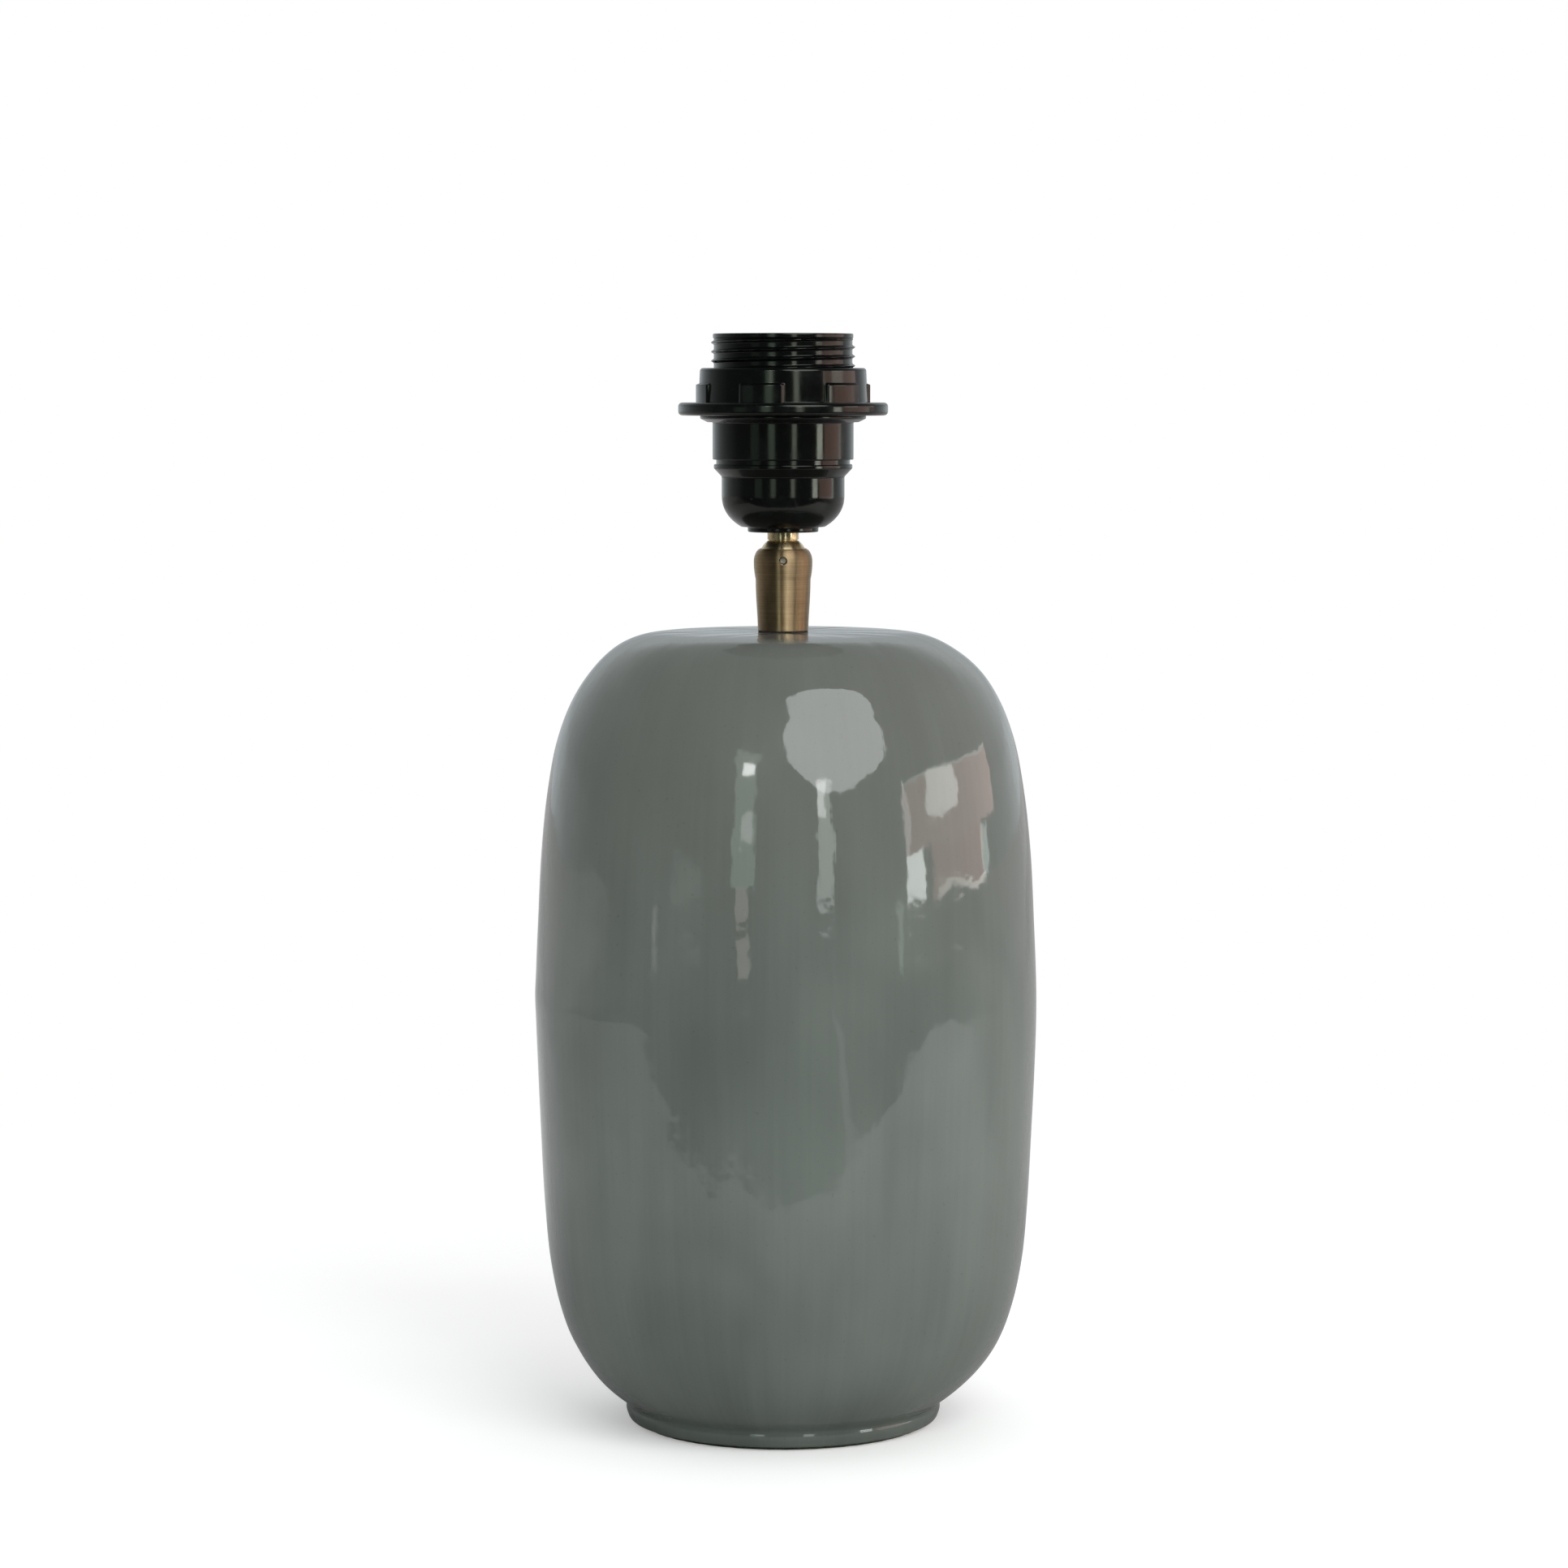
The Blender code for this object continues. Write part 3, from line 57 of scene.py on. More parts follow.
# Heights of the seats that the pieces share, over the face that the lamp stands on
FOOT_Z = 1.1
SEAT_Z = 221.3
SWIVEL_Z = 222.4
SWIVEL_LOW = 221.62                # where the swivel ends once it is clamped down on its gasket
BALL_Z = 241.2
CAP_Z = 248.9
SKIRT_Z = 267.7
SHOULDER_Z = 281.0
RIM_Z = 303.55

FLOW_RADIUS = 62.0                 # radius at which a marked piece's round pattern has its true size
SHARP = 38.0                       # angle in degrees past which an edge is left sharp
MERGE = 0.0004                     # points nearer than this are one

Profile = np.ndarray
Relief = Callable[[np.ndarray, np.ndarray, np.ndarray], np.ndarray]


class Body(Enum):
    """The moving bodies that a piece can ride on."""

    BASE = "base"
    SEAT = "swivel_seat"
    HEAD = "lamp_head"
    LEAF = "contact_leaf"
    CLAMP = "shade_clamp"


# Shapes


def smooth_step(low: float, high: float, value: np.ndarray) -> np.ndarray:
    """Rises from 0 to 1 between two values, as 3t^2 - 2t^3.

    Args:
        low: where the rise starts.
        high: where it ends.
        value: the values to look up.

    Returns:
        The height of the step at each value.
    """
    t = np.clip((value - low) / (high - low), 0.0, 1.0)
    return t * t * (3.0 - 2.0 * t)


def rounded(corners: list[tuple[float, float, float]], steps: int = 5,
            drop: tuple[int, int] = (0, 0)) -> Profile:
    """A closed outline whose corners are arcs.

    Each corner is cut back along both of its sides by radius / tan(half its angle), and the two
    cuts are joined by an arc, worked out as a turn from the first cut to the second about the
    arc's centre. A point just outside each cut keeps the flat sides flat in the shading. All
    corners are worked out together.

    Args:
        corners: (radius, height, corner radius) of each corner, in order round the loop.
        steps: points on each arc.
        drop: corners left out at the start and at the end, which only gave their sides' directions.

    Returns:
        The outline's points.
    """
    table = np.array(corners, dtype=float)
    point, round_by = table[:, :2], table[:, 2]
    back, ahead = np.roll(point, 1, 0) - point, np.roll(point, -1, 0) - point
    back_length, ahead_length = np.linalg.norm(back, axis=1), np.linalg.norm(ahead, axis=1)
    back, ahead = back / back_length[:, None], ahead / ahead_length[:, None]
    half = np.arccos(np.clip((back * ahead).sum(1), -1.0, 1.0)) / 2
    cut = np.minimum(round_by / np.tan(half), 0.48 * np.minimum(back_length, ahead_length))
    inward = back + ahead
    inward /= np.maximum(np.linalg.norm(inward, axis=1), 1e-9)[:, None]
    centre = point + inward * (cut / np.maximum(np.cos(half), 1e-9))[:, None]
    first, last = point + back * cut[:, None] - centre, point + ahead * cut[:, None] - centre
    sweep = np.maximum(math.pi - 2 * half, 1e-6)[:, None]
    share = np.linspace(0.0, 1.0, steps)[None, :]
    from_first = (np.sin((1 - share) * sweep) / np.sin(sweep))[..., None]
    from_last = (np.sin(share * sweep) / np.sin(sweep))[..., None]
    arcs = centre[:, None] + from_first * first[:, None] + from_last * last[:, None]
    before = point + back * (cut + np.minimum(0.1, 0.02 * back_length))[:, None]
    beyond = point + ahead * (cut + np.minimum(0.1, 0.02 * ahead_length))[:, None]
    outline = np.concatenate([before[:, None], arcs, beyond[:, None]], axis=1)
    return outline[drop[0] : len(outline) - drop[1]].reshape(-1, 2)


def flowing(stations: list[tuple[float, float]], step: float, soften: float = 0.0) -> Profile:
    """A smooth open curve through measured stations.

    Between two stations it is a cubic whose slopes there are those of the neighbours' chord, and
    it is then averaged along its length with a bell-shaped weight, to even out the measuring.

    Args:
        stations: (radius, height) points along the curve.
        step: distance between the points that are returned.
        soften: half width of the averaging, or 0 for none.

    Returns:
        The curve's points, ends included.
    """
    point = np.array(stations, dtype=float)
    along = np.r_[0.0, np.cumsum(np.linalg.norm(np.diff(point, axis=0), axis=1))]
    slope = np.gradient(point, along, axis=0)
    at = np.linspace(0.0, along[-1], max(int(along[-1] / step), 2) + 1)
    left = np.clip(np.searchsorted(along, at, side="right") - 1, 0, len(along) - 2)
    width = (along[left + 1] - along[left])[:, None]
    t = (at - along[left])[:, None] / width
    curve = (
        (2 * t**3 - 3 * t**2 + 1) * point[left]
        + (t**3 - 2 * t**2 + t) * width * slope[left]
        + (3 * t**2 - 2 * t**3) * point[left + 1]
        + (t**3 - t**2) * width * slope[left + 1]
    )
    if soften <= 0:
        return curve
    reach = int(3 * soften / step)
    weight = np.exp(-0.5 * (np.arange(-reach, reach + 1) * step / soften) ** 2)
    weight /= weight.sum()
    before, after = 2 * curve[0] - curve[reach:0:-1], 2 * curve[-1] - curve[-2 : -reach - 2 : -1]
    padded = np.vstack([before, curve, after])
    return np.stack([np.convolve(padded[:, axis], weight, "valid") for axis in (0, 1)], axis=1)


def refined(profile: Profile, step: float) -> Profile:
    """Adds points along a closed profile's long sides, so that a relief has rows to work on.

    Args:
        profile: the loop.
        step: the longest side that is left.

    Returns:
        The loop with each long side cut into equal lengths.
    """
    after = np.roll(profile, -1, 0)
    count = np.maximum(np.ceil(np.linalg.norm(after - profile, axis=1) / step).astype(int), 1)
    start = np.repeat(profile, count, axis=0)
    end = np.repeat(after, count, axis=0)
    place = np.arange(count.sum()) - np.repeat(np.r_[0, np.cumsum(count)[:-1]], count)
    return start + (end - start) * (place / np.repeat(count, count))[:, None]


def even_angles(count: int) -> np.ndarray:
    """Angles that divide the whole turn evenly."""
    return np.arange(count) * (TURN / count)


def grid_faces(rows: int, columns: int) -> np.ndarray:
    """Four-sided faces of a grid that closes on itself both ways.

    Args:
        rows: points round the profile.
        columns: points round the axis.

    Returns:
        The corner numbers of each face.
    """
    row, column = np.meshgrid(np.arange(rows), np.arange(columns), indexing="ij")
    next_row, next_column = (row + 1) % rows, (column + 1) % columns
    corners = (row * columns + column, row * columns + next_column,
               next_row * columns + next_column, next_row * columns + column)
    return np.stack(corners, axis=-1).reshape(-1, 4)


def placed(name: str, data: bpy.types.ID) -> bpy.types.Object:
    """Puts an object that holds this data in the scene, at the origin."""
    thing = bpy.data.objects.new(name, data)
    bpy.context.scene.collection.objects.link(thing)
    return thing


def write_mesh(name: str, points: np.ndarray, faces: np.ndarray, sharp: float = SHARP,
               marks: dict[str, np.ndarray] | None = None) -> bpy.types.Object:
    """Makes an object from points and faces, closes its poles and turns its faces outwards.

    Args:
        name: the piece's name.
        points: (n, 3) places in millimetres.
        faces: (m, 4) corner numbers.
        sharp: the angle in degrees past which an edge is left sharp.
        marks: values for each point, stored under their names for the materials.

    Returns:
        The new object, at the origin.
    """
    mesh = bpy.data.meshes.new(name)
    mesh.vertices.add(len(points))
    mesh.vertices.foreach_set("co", (points * MM).astype(np.float32).ravel())
    mesh.loops.add(faces.size)
    mesh.loops.foreach_set("vertex_index", faces.astype(np.int32).ravel())
    mesh.polygons.add(len(faces))
    mesh.polygons.foreach_set("loop_start", np.arange(len(faces), dtype=np.int32) * faces.shape[1])
    mesh.update(calc_edges=True)
    for mark, values in (marks or {}).items():
        kind, entry = ("FLOAT_VECTOR", "vector") if values.ndim == 2 else ("FLOAT", "value")
        stored = mesh.attributes.new(mark, kind, "POINT")
        stored.data.foreach_set(entry, values.astype(np.float32).ravel())
    tidy_mesh(mesh, sharp)
    return placed(name, mesh)


def tidy_mesh(mesh: bpy.types.Mesh, sharp: float) -> None:
    """Merges doubled points, drops empty faces, turns faces outwards and sets the shading.

    Args:
        mesh: the mesh to change.
        sharp: the angle in degrees past which an edge is left sharp.
    """
    work = bmesh.new()
    work.from_mesh(mesh)
    bmesh.ops.remove_doubles(work, verts=work.verts, dist=MERGE * MM)
    bmesh.ops.dissolve_degenerate(work, edges=work.edges, dist=MERGE * MM)
    bmesh.ops.recalc_face_normals(work, faces=work.faces)
    work.to_mesh(mesh)
    work.free()
    mesh.shade_smooth()
    mesh.set_sharp_from_angle(angle=math.radians(sharp))


def turned(name: str, profile: Profile, angles: np.ndarray, relief: Relief | None = None,
           place: Matrix | None = None, sharp: float = SHARP,
           marks: dict[str, np.ndarray] | None = None) -> bpy.types.Object:
    """A turned piece: each profile point (r, z) goes to (r cos a, r sin a, z) at every angle a.

    Args:
        name: the piece's name.
        profile: the closed loop that is turned.
        angles: the angles of the grid's columns.
        relief: adds to the radius, from the grids of angle, radius and height.
        place: moves the finished piece, in millimetres.
        sharp: the angle in degrees past which an edge is left sharp.
        marks: values for each profile point, stored for the materials. With them goes "flow", the
            place (R cos a, R sin a, length along the profile), along which a glaze runs.

    Returns:
        The new object.
    """
    radius = np.repeat(profile[:, :1], len(angles), axis=1)
    height = np.repeat(profile[:, 1:], len(angles), axis=1)
    angle = np.repeat(angles[None, :], len(profile), axis=0)
    if relief is not None:
        radius = radius + relief(angle, radius, height)
    points = np.stack([radius * np.cos(angle), radius * np.sin(angle), height], axis=-1).reshape(-1, 3)
    if place is not None:
        matrix = np.array(place)
        points = points @ matrix[:3, :3].T + matrix[:3, 3]
    spread = {mark: np.repeat(values, len(angles)) for mark, values in (marks or {}).items()}
    if spread:
        along = np.r_[0.0, np.cumsum(np.linalg.norm(np.diff(profile, axis=0), axis=1))]
        along = np.repeat(along[:, None], len(angles), axis=1)
        flow = np.stack([FLOW_RADIUS * np.cos(angle), FLOW_RADIUS * np.sin(angle), along], axis=-1)
        spread["flow"] = flow.reshape(-1, 3) * MM
    return write_mesh(name, points, grid_faces(len(profile), len(angles)), sharp, spread)


def facing(middle: Vector, direction: Vector) -> Matrix:
    """A place whose own Z axis points along a direction, at a middle point in millimetres."""
    return Matrix.Translation(middle) @ direction.to_track_quat("Z", "Y").to_matrix().to_4x4()


def helix_phase(angle: np.ndarray, height: np.ndarray, pitch: float, start: float) -> np.ndarray:
    """Share of a right-handed thread's pitch at each place, 0.5 being half a pitch over its start line.

    Args:
        angle: angles round the axis.
        height: heights.
        pitch: the thread's pitch.
        start: a height at which the phase is 0 at angle 0.

    Returns:
        The share, from 0 to 1: (height - start) / pitch - angle / turn, less its whole turns.
    """
    return np.mod((height - start) / pitch - angle / TURN, 1.0)


def ridge_of(phase: np.ndarray, half: float) -> np.ndarray:
    """A moulded thread's height: a triangle, 1 at half the pitch, whose tip and feet are softened.

    Args:
        phase: share of the pitch, from 0 to 1.
        half: half the triangle's width, as a share of the pitch.

    Returns:
        The height, from 0 to 1.
    """
    return smooth_step(0.0, 1.0, np.clip(1.0 - np.abs(phase - 0.5) / half, 0.0, 1.0))


def groove_of(phase: np.ndarray) -> np.ndarray:
    """A cut thread's depth: 0.5 - 0.5 cos(turn times phase), deepest at half the pitch."""
    return 0.5 - 0.5 * np.cos(TURN * phase)


def fade(value: np.ndarray, low: float, high: float, rise: float, fall: float) -> np.ndarray:
    """1 between two places, easing to 0 towards both.

    Args:
        value: the values to look up.
        low: where it starts from 0.
        high: where it ends at 0.
        rise: length over which it rises.
        fall: length over which it falls.

    Returns:
        The height at each value.
    """
    return smooth_step(low, low + rise, value) * smooth_step(high, high - fall, value)


def hexagon_reach(angle: np.ndarray) -> np.ndarray:
    """Reach of a hexagon whose flats lie 1 from its middle: 1 / cos(angle from the flat's middle)."""
    return 1.0 / np.cos(np.mod(angle, TURN / 6) - TURN / 12)


def carve(piece: bpy.types.Object, cutter: bpy.types.Object) -> None:
    """Cuts one piece with another, keeps the result as the piece's mesh and removes the cutter.

    Args:
        piece: the piece that is cut.
        cutter: the shape that is taken out.
    """
    cut = piece.modifiers.new("cut", "BOOLEAN")
    cut.operation, cut.solver, cut.object = "DIFFERENCE", "EXACT", cutter
    bpy.context.view_layer.update()
    result = bpy.data.meshes.new_from_object(piece.evaluated_get(bpy.context.evaluated_depsgraph_get()))
    old, name = piece.data, piece.data.name
    piece.modifiers.clear()
    piece.data = result
    bpy.data.meshes.remove(old)
    result.name = name
    bpy.data.objects.remove(cutter)


def bored(piece: bpy.types.Object, stations: list[tuple[float, float]], columns: int, place: Matrix) -> None:
    """Bores a round hole in a piece, with a turned cutter.

    Args:
        piece: the piece that is bored.
        stations: (radius, height) corners of the cutter, from its axis round to its axis.
        columns: flat sides of the hole.
        place: where the cutter's axis lies.
    """
    cutter = rounded([(radius, height, 0.0) for radius, height in stations], 1)
    carve(piece, turned("cutter", cutter, even_angles(columns), place=place))


def eased_copy(node: str, name: str, edge: float) -> bpy.types.Object:
    """A CAD node's shape with its points merged and its edges eased by a bevel.

    Args:
        node: the CAD node.
        name: the new piece's name.
        edge: width of the bevel.

    Returns:
        The new object.
    """
    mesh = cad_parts[node].data.copy()
    mesh.name = name
    mesh.materials.clear()
    tidy_mesh(mesh, SHARP)
    piece = placed(name, mesh)
    bevel = piece.modifiers.new("eased_edges", "BEVEL")
    bevel.width, bevel.segments = edge * MM, 2
    bevel.limit_method, bevel.angle_limit = "ANGLE", math.radians(40.0)
    bevel.harden_normals = True
    return piece


# Finishes


def linear(colour: str) -> tuple[float, float, float, float]:
    """Turns an sRGB hex colour into the linear values that a shader takes.

    Args:
        colour: six hex digits after a #.

    Returns:
        Red, green, blue and an alpha of 1.
    """
    parts = np.array([int(colour[start : start + 2], 16) for start in (1, 3, 5)]) / 255.0
    flat = np.where(parts <= 0.04045, parts / 12.92, ((parts + 0.055) / 1.055) ** 2.4)
    return (*flat.tolist(), 1.0)


def empty_tree(owner: bpy.types.Material | bpy.types.World) -> bpy.types.NodeTree:
    """Turns the owner's nodes on, and takes out those that it starts with."""
    owner.use_nodes = True
    owner.node_tree.nodes.clear()
    return owner.node_tree


def add_node(tree: bpy.types.NodeTree, kind: str, inputs: dict | None = None,
             **settings: Any) -> bpy.types.Node:
    """Adds one node, sets it up, and fills or links its inputs.

    Args:
        tree: the tree it goes in.
        kind: the node's type.
        inputs: by name or number, a value to set or another node's output to link.
        settings: attributes of the node itself.

    Returns:
        The node.
    """
    node = tree.nodes.new(kind)
    for name, value in settings.items():
        setattr(node, name, value)
    for key, value in (inputs or {}).items():
        if isinstance(value, bpy.types.NodeSocket):
            tree.links.new(value, node.inputs[key])
        else:
            node.inputs[key].default_value = value
    return node


class Painter:
    """Builds the patterns of one material, on the piece's Object coordinates in real sizes."""

    def __init__(self, tree: bpy.types.NodeTree, place: str = "Object") -> None:
        """Starts on a tree, and adds the coordinates that all its patterns share."""
        self.tree = tree
        self.where = add_node(tree, "ShaderNodeTexCoord").outputs[place]

    def follow(self, name: str) -> None:
        """Bases the patterns that come next on places that are stored on the mesh, in metres."""
        self.where = add_node(self.tree, "ShaderNodeAttribute", attribute_name=name).outputs["Vector"]

    def grain(self, across: float, along: float | None = None, detail: float = 3.0,
              rough: float = 0.5, warp: float = 0.0) -> bpy.types.NodeSocket:
        """A noise whose features have a real size.

        Args:
            across: their size in X and Y, in millimetres.
            along: their size in Z, or None for the same.
            detail: finer layers that are added.
            rough: how strong each finer layer is.
            warp: how far the pattern is distorted.

        Returns:
            A value from 0 to 1, near 0.5 on average.
        """
        wide, tall = 1 / (across * MM), 1 / ((along or across) * MM)
        sized = {"Vector": self.where, "Scale": (wide, wide, tall)}
        mapping = add_node(self.tree, "ShaderNodeMapping", sized)
        inputs = {"Vector": mapping.outputs[0], "Scale": 1.0, "Detail": detail, "Roughness": rough,
                  "Distortion": warp}
        return add_node(self.tree, "ShaderNodeTexNoise", inputs).outputs["Fac"]

    def ramp(self, value: bpy.types.NodeSocket, low: float, high: float, start: float = 0.0,
             end: float = 1.0) -> bpy.types.NodeSocket:
        """Maps low..high of a value to start..end, and holds it at both ends.

        Args:
            value: the value to map.
            low: its lower end.
            high: its upper end.
            start: the result at the lower end.
            end: the result at the upper end.

        Returns:
            The mapped value.
        """
        inputs = {"Value": value, "From Min": low, "From Max": high, "To Min": start, "To Max": end}
        return add_node(self.tree, "ShaderNodeMapRange", inputs).outputs["Result"]

    def tint(self, share: bpy.types.NodeSocket, first: Any, second: Any) -> bpy.types.NodeSocket:
        """Goes from one colour to another.

        Args:
            share: 0 for the first, 1 for the second.
            first: a hex colour, or a colour output.
            second: the same, for the other end.

        Returns:
            The mixed colour.
        """
        ends = [linear(end) if isinstance(end, str) else end for end in (first, second)]
        mix = add_node(self.tree, "ShaderNodeMix", {0: share, 6: ends[0], 7: ends[1]}, data_type="RGBA")
        return mix.outputs[2]

    def sum(self, *terms: tuple[bpy.types.NodeSocket, float]) -> bpy.types.NodeSocket:
        """Adds values, each times its own weight."""
        total: Any = 0.0
        for value, weight in terms:
            inputs = {0: value, 1: weight, 2: total}
            total = add_node(self.tree, "ShaderNodeMath", inputs, operation="MULTIPLY_ADD").outputs[0]
        return total

    def relief(self, *terms: tuple[bpy.types.NodeSocket, float]) -> bpy.types.NodeSocket:
        """A bump whose height is the weighted sum of values, in millimetres."""
        inputs = {"Strength": 1.0, "Distance": MM, "Height": self.sum(*terms)}
        return add_node(self.tree, "ShaderNodeBump", inputs).outputs["Normal"]

    def maths(self, operation: str, *values: Any) -> bpy.types.NodeSocket:
        """One step of arithmetic, by its name in Blender, on numbers or outputs."""
        return add_node(self.tree, "ShaderNodeMath", dict(enumerate(values)), operation=operation).outputs[0]

    def blend(self, share: Any, first: Any, second: Any) -> bpy.types.NodeSocket:
        """Goes from one number to another as the share goes from 0 to 1."""
        ends = {0: share, 2: first, 3: second}
        return add_node(self.tree, "ShaderNodeMix", ends, data_type="FLOAT").outputs[0]

    def either(self, share: Any, first: bpy.types.Node, second: bpy.types.Node) -> bpy.types.Node:
        """Goes from one shader to another as the share goes from 0 to 1."""
        ends = {0: share, 1: first.outputs[0], 2: second.outputs[0]}
        return add_node(self.tree, "ShaderNodeMixShader", ends)

    def vector(self, operation: str, *values: Any) -> Any:
        """The outputs of one step of vector arithmetic, by its name in Blender."""
        inputs = dict(enumerate(values))
        return add_node(self.tree, "ShaderNodeVectorMath", inputs, operation=operation).outputs

    def glow(self, strength: Any) -> bpy.types.Node:
        """A shader that gives off white light."""
        return add_node(self.tree, "ShaderNodeEmission", {"Strength": strength})

    def rays(self) -> Any:
        """Which kind of ray is looking, each 0 or 1 under its name in Blender."""
        return add_node(self.tree, "ShaderNodeLightPath").outputs

    def axes(self) -> Any:
        """The X, Y and Z of the pattern's coordinates, which are metres on a piece."""
        return add_node(self.tree, "ShaderNodeSeparateXYZ", {0: self.where}).outputs

    def levels(self, value: bpy.types.NodeSocket,
               stops: tuple[tuple[float, float], ...]) -> bpy.types.NodeSocket:
        """Looks a value up in a list of grey levels, a little blue.

        Args:
            value: from 0 to 1.
            stops: (value, level) pairs, in order from 0 to 1.

        Returns:
            The level, as a colour.
        """
        ramp = add_node(self.tree, "ShaderNodeValToRGB", {0: value})
        elements = ramp.color_ramp.elements
        elements[0].position, elements[1].position = stops[0][0], stops[-1][0]
        for place, _ in stops[1:-1]:
            elements.new(place)
        for element, (_, level) in zip(elements, stops):
            element.color = (0.96 * level, level, 1.02 * level, 1.0)
        return ramp.outputs[0]

    def lathe(self, pull: float) -> dict[str, Any]:
        """The inputs of metal whose rings run round a turned piece, and draw each light out upright."""
        round_it = add_node(self.tree, "ShaderNodeTangent", direction_type="RADIAL", axis="Z").outputs[0]
        return {"Metallic": 1.0, "Anisotropic": pull, "Anisotropic Rotation": 0.25, "Tangent": round_it}

    def mark(self, name: str) -> bpy.types.NodeSocket:
        """A value that is stored on the mesh."""
        return add_node(self.tree, "ShaderNodeAttribute", attribute_name=name).outputs["Fac"]


@dataclass(frozen=True)
class Finish:
    """A material by its real name and process, and the record's slot that it fills."""

    name: str
    slot: str

    def surface(self, paint: Painter) -> dict[str, Any]:
        """The shader's inputs, as values or as outputs of other nodes."""
        raise NotImplementedError

    @cache
    def material(self) -> bpy.types.Material:
        """Makes the material once, and returns the same one each time."""
        made = bpy.data.materials.new(self.name)
        tree = empty_tree(made)
        shader = add_node(tree, "ShaderNodeBsdfPrincipled", self.surface(Painter(tree)))
        add_node(tree, "ShaderNodeOutputMaterial", {"Surface": shader.outputs[0]})
        return made


@dataclass(frozen=True)
class GlazedStoneware(Finish):
    """Stoneware brushed with a glossy grey-green glaze and fired.

    The eye sees a glassy skin over a quiet colour, drawn out into fine upright streaks where the
    glaze ran. It is darker where it pools in the groove over the foot, darker towards the floor,
    and warmer and a little lighter over its upper half. Inside and under the foot the clay is bare.
    """

    name: str = "glazed_stoneware"
    slot: str = "glaze"
    deep: str = "#575c58"
    pale: str = "#646a65"
    warm: str = "#66645e"
    pooled: str = "#434944"
    clay: str = "#a99a84"
    clay_dark: str = "#8a7a65"

    def surface(self, paint: Painter) -> dict[str, Any]:
        """Streaks 1.5 mm wide in brush marks of 6 mm, drifts of 30 mm, and bare clay where marked.

        The skin's waves, 3 to 26 mm long where the wall is open, give the reflections their
        wandering edges. The upper half is a little warmer.
        """
        paint.follow("flow")
        streak = paint.grain(1.5, 60.0, detail=4.0, rough=0.6)
        brush = paint.grain(6.0, 120.0, detail=2.0)
        drift = paint.grain(30.0, 60.0, detail=2.0, warp=0.4)
        wave = paint.grain(20.0, 26.0, detail=1.0, rough=0.4)
        ripple = paint.grain(8.0, 11.0, detail=1.0)
        pebble = paint.grain(3.2, 4.5, detail=1.0)
        speck = paint.grain(0.9, detail=2.0)
        tone = paint.ramp(paint.sum((drift, 0.72), (brush, 0.13), (streak, 0.15)), 0.34, 0.66)
        glaze = paint.tint(tone, self.deep, self.pale)
        # warmer and a little lighter from 0.12 to 0.2 m along the profile, over the upper half
        glaze = paint.tint(paint.ramp(paint.axes()["Z"], 0.12, 0.2, 0.0, 0.4), glaze, self.warm)
        glaze = paint.tint(paint.ramp(speck, 0.68, 0.76, 0.0, 0.3), glaze, self.pooled)
        # darker where the pool mark is set: in the groove over the foot, and towards the floor
        glaze = paint.tint(paint.mark("pool"), glaze, self.pooled)
        clay = paint.tint(paint.ramp(paint.grain(1.6, detail=4.0), 0.4, 0.62), self.clay, self.clay_dark)
        bare = paint.mark("bare")
        gloss = paint.ramp(paint.sum((streak, 0.5), (drift, 0.5)), 0.38, 0.62, 0.04, 0.075)
        waves = paint.sum((wave, 0.42), (ripple, 0.07), (pebble, 0.035))
        waves = paint.maths("MULTIPLY", waves, paint.mark("open"))
        skin = paint.relief((streak, 0.007), (brush, 0.03), (waves, 1.0), (speck, 0.001))
        return {"Base Color": paint.tint(bare, glaze, clay), "Roughness": paint.blend(bare, gloss, 0.85),
                "IOR": 1.5, "Normal": skin}


@dataclass(frozen=True)
class AgedBrass(Finish):
    """Brass turned on a lathe, then darkened by age.

    The eye sees a dull brown-gold. The tool's rings run round the piece, so each light is drawn
    out into an upright band.
    """

    name: str = "aged_turned_brass"
    slot: str = "aged_brass"
    rubbed: str = "#ae9673"
    dark: str = "#8f7a5c"
    spotted: str = "#6d5a42"

    def surface(self, paint: Painter) -> dict[str, Any]:
        """Rings 0.3 mm apart, coarser than a real lathe's feed so that they show, and few spots."""
        ring = paint.grain(60.0, 0.3, detail=1.0)
        cloud = paint.grain(6.0, 3.0, detail=3.0, rough=0.6)
        spot = paint.grain(0.6, detail=2.0)
        share = paint.ramp(paint.sum((cloud, 0.6), (ring, 0.4)), 0.36, 0.64)
        colour = paint.tint(share, self.dark, self.rubbed)
        colour = paint.tint(paint.ramp(spot, 0.68, 0.76, 0.0, 0.5), colour, self.spotted)
        rough = paint.ramp(cloud, 0.35, 0.65, 0.4, 0.5)
        return {**paint.lathe(0.95), "Base Color": colour, "Roughness": rough,
                "Normal": paint.relief((ring, 0.0012), (cloud, 0.002))}


@dataclass(frozen=True)
class BrightBrass(Finish):
    """Brass turned or pressed, and left bright.

    The eye sees pale yellow metal with clear reflections, broken only by fine rings.
    """

    name: str = "bright_turned_brass"
    slot: str = "bright_brass"
    bright: str = "#dccb9f"
    stained: str = "#b8a078"

    def surface(self, paint: Painter) -> dict[str, Any]:
        """Rings 0.2 mm apart, drawn coarser than they are, under light stains of 3 mm."""
        ring = paint.grain(40.0, 0.2, detail=1.0)
        stain = paint.grain(3.0, detail=3.0)
        colour = paint.tint(paint.ramp(stain, 0.42, 0.66), self.bright, self.stained)
        rough = paint.ramp(stain, 0.35, 0.65, 0.24, 0.32)
        return {**paint.lathe(0.9), "Base Color": colour, "Roughness": rough,
                "Normal": paint.relief((ring, 0.0008))}


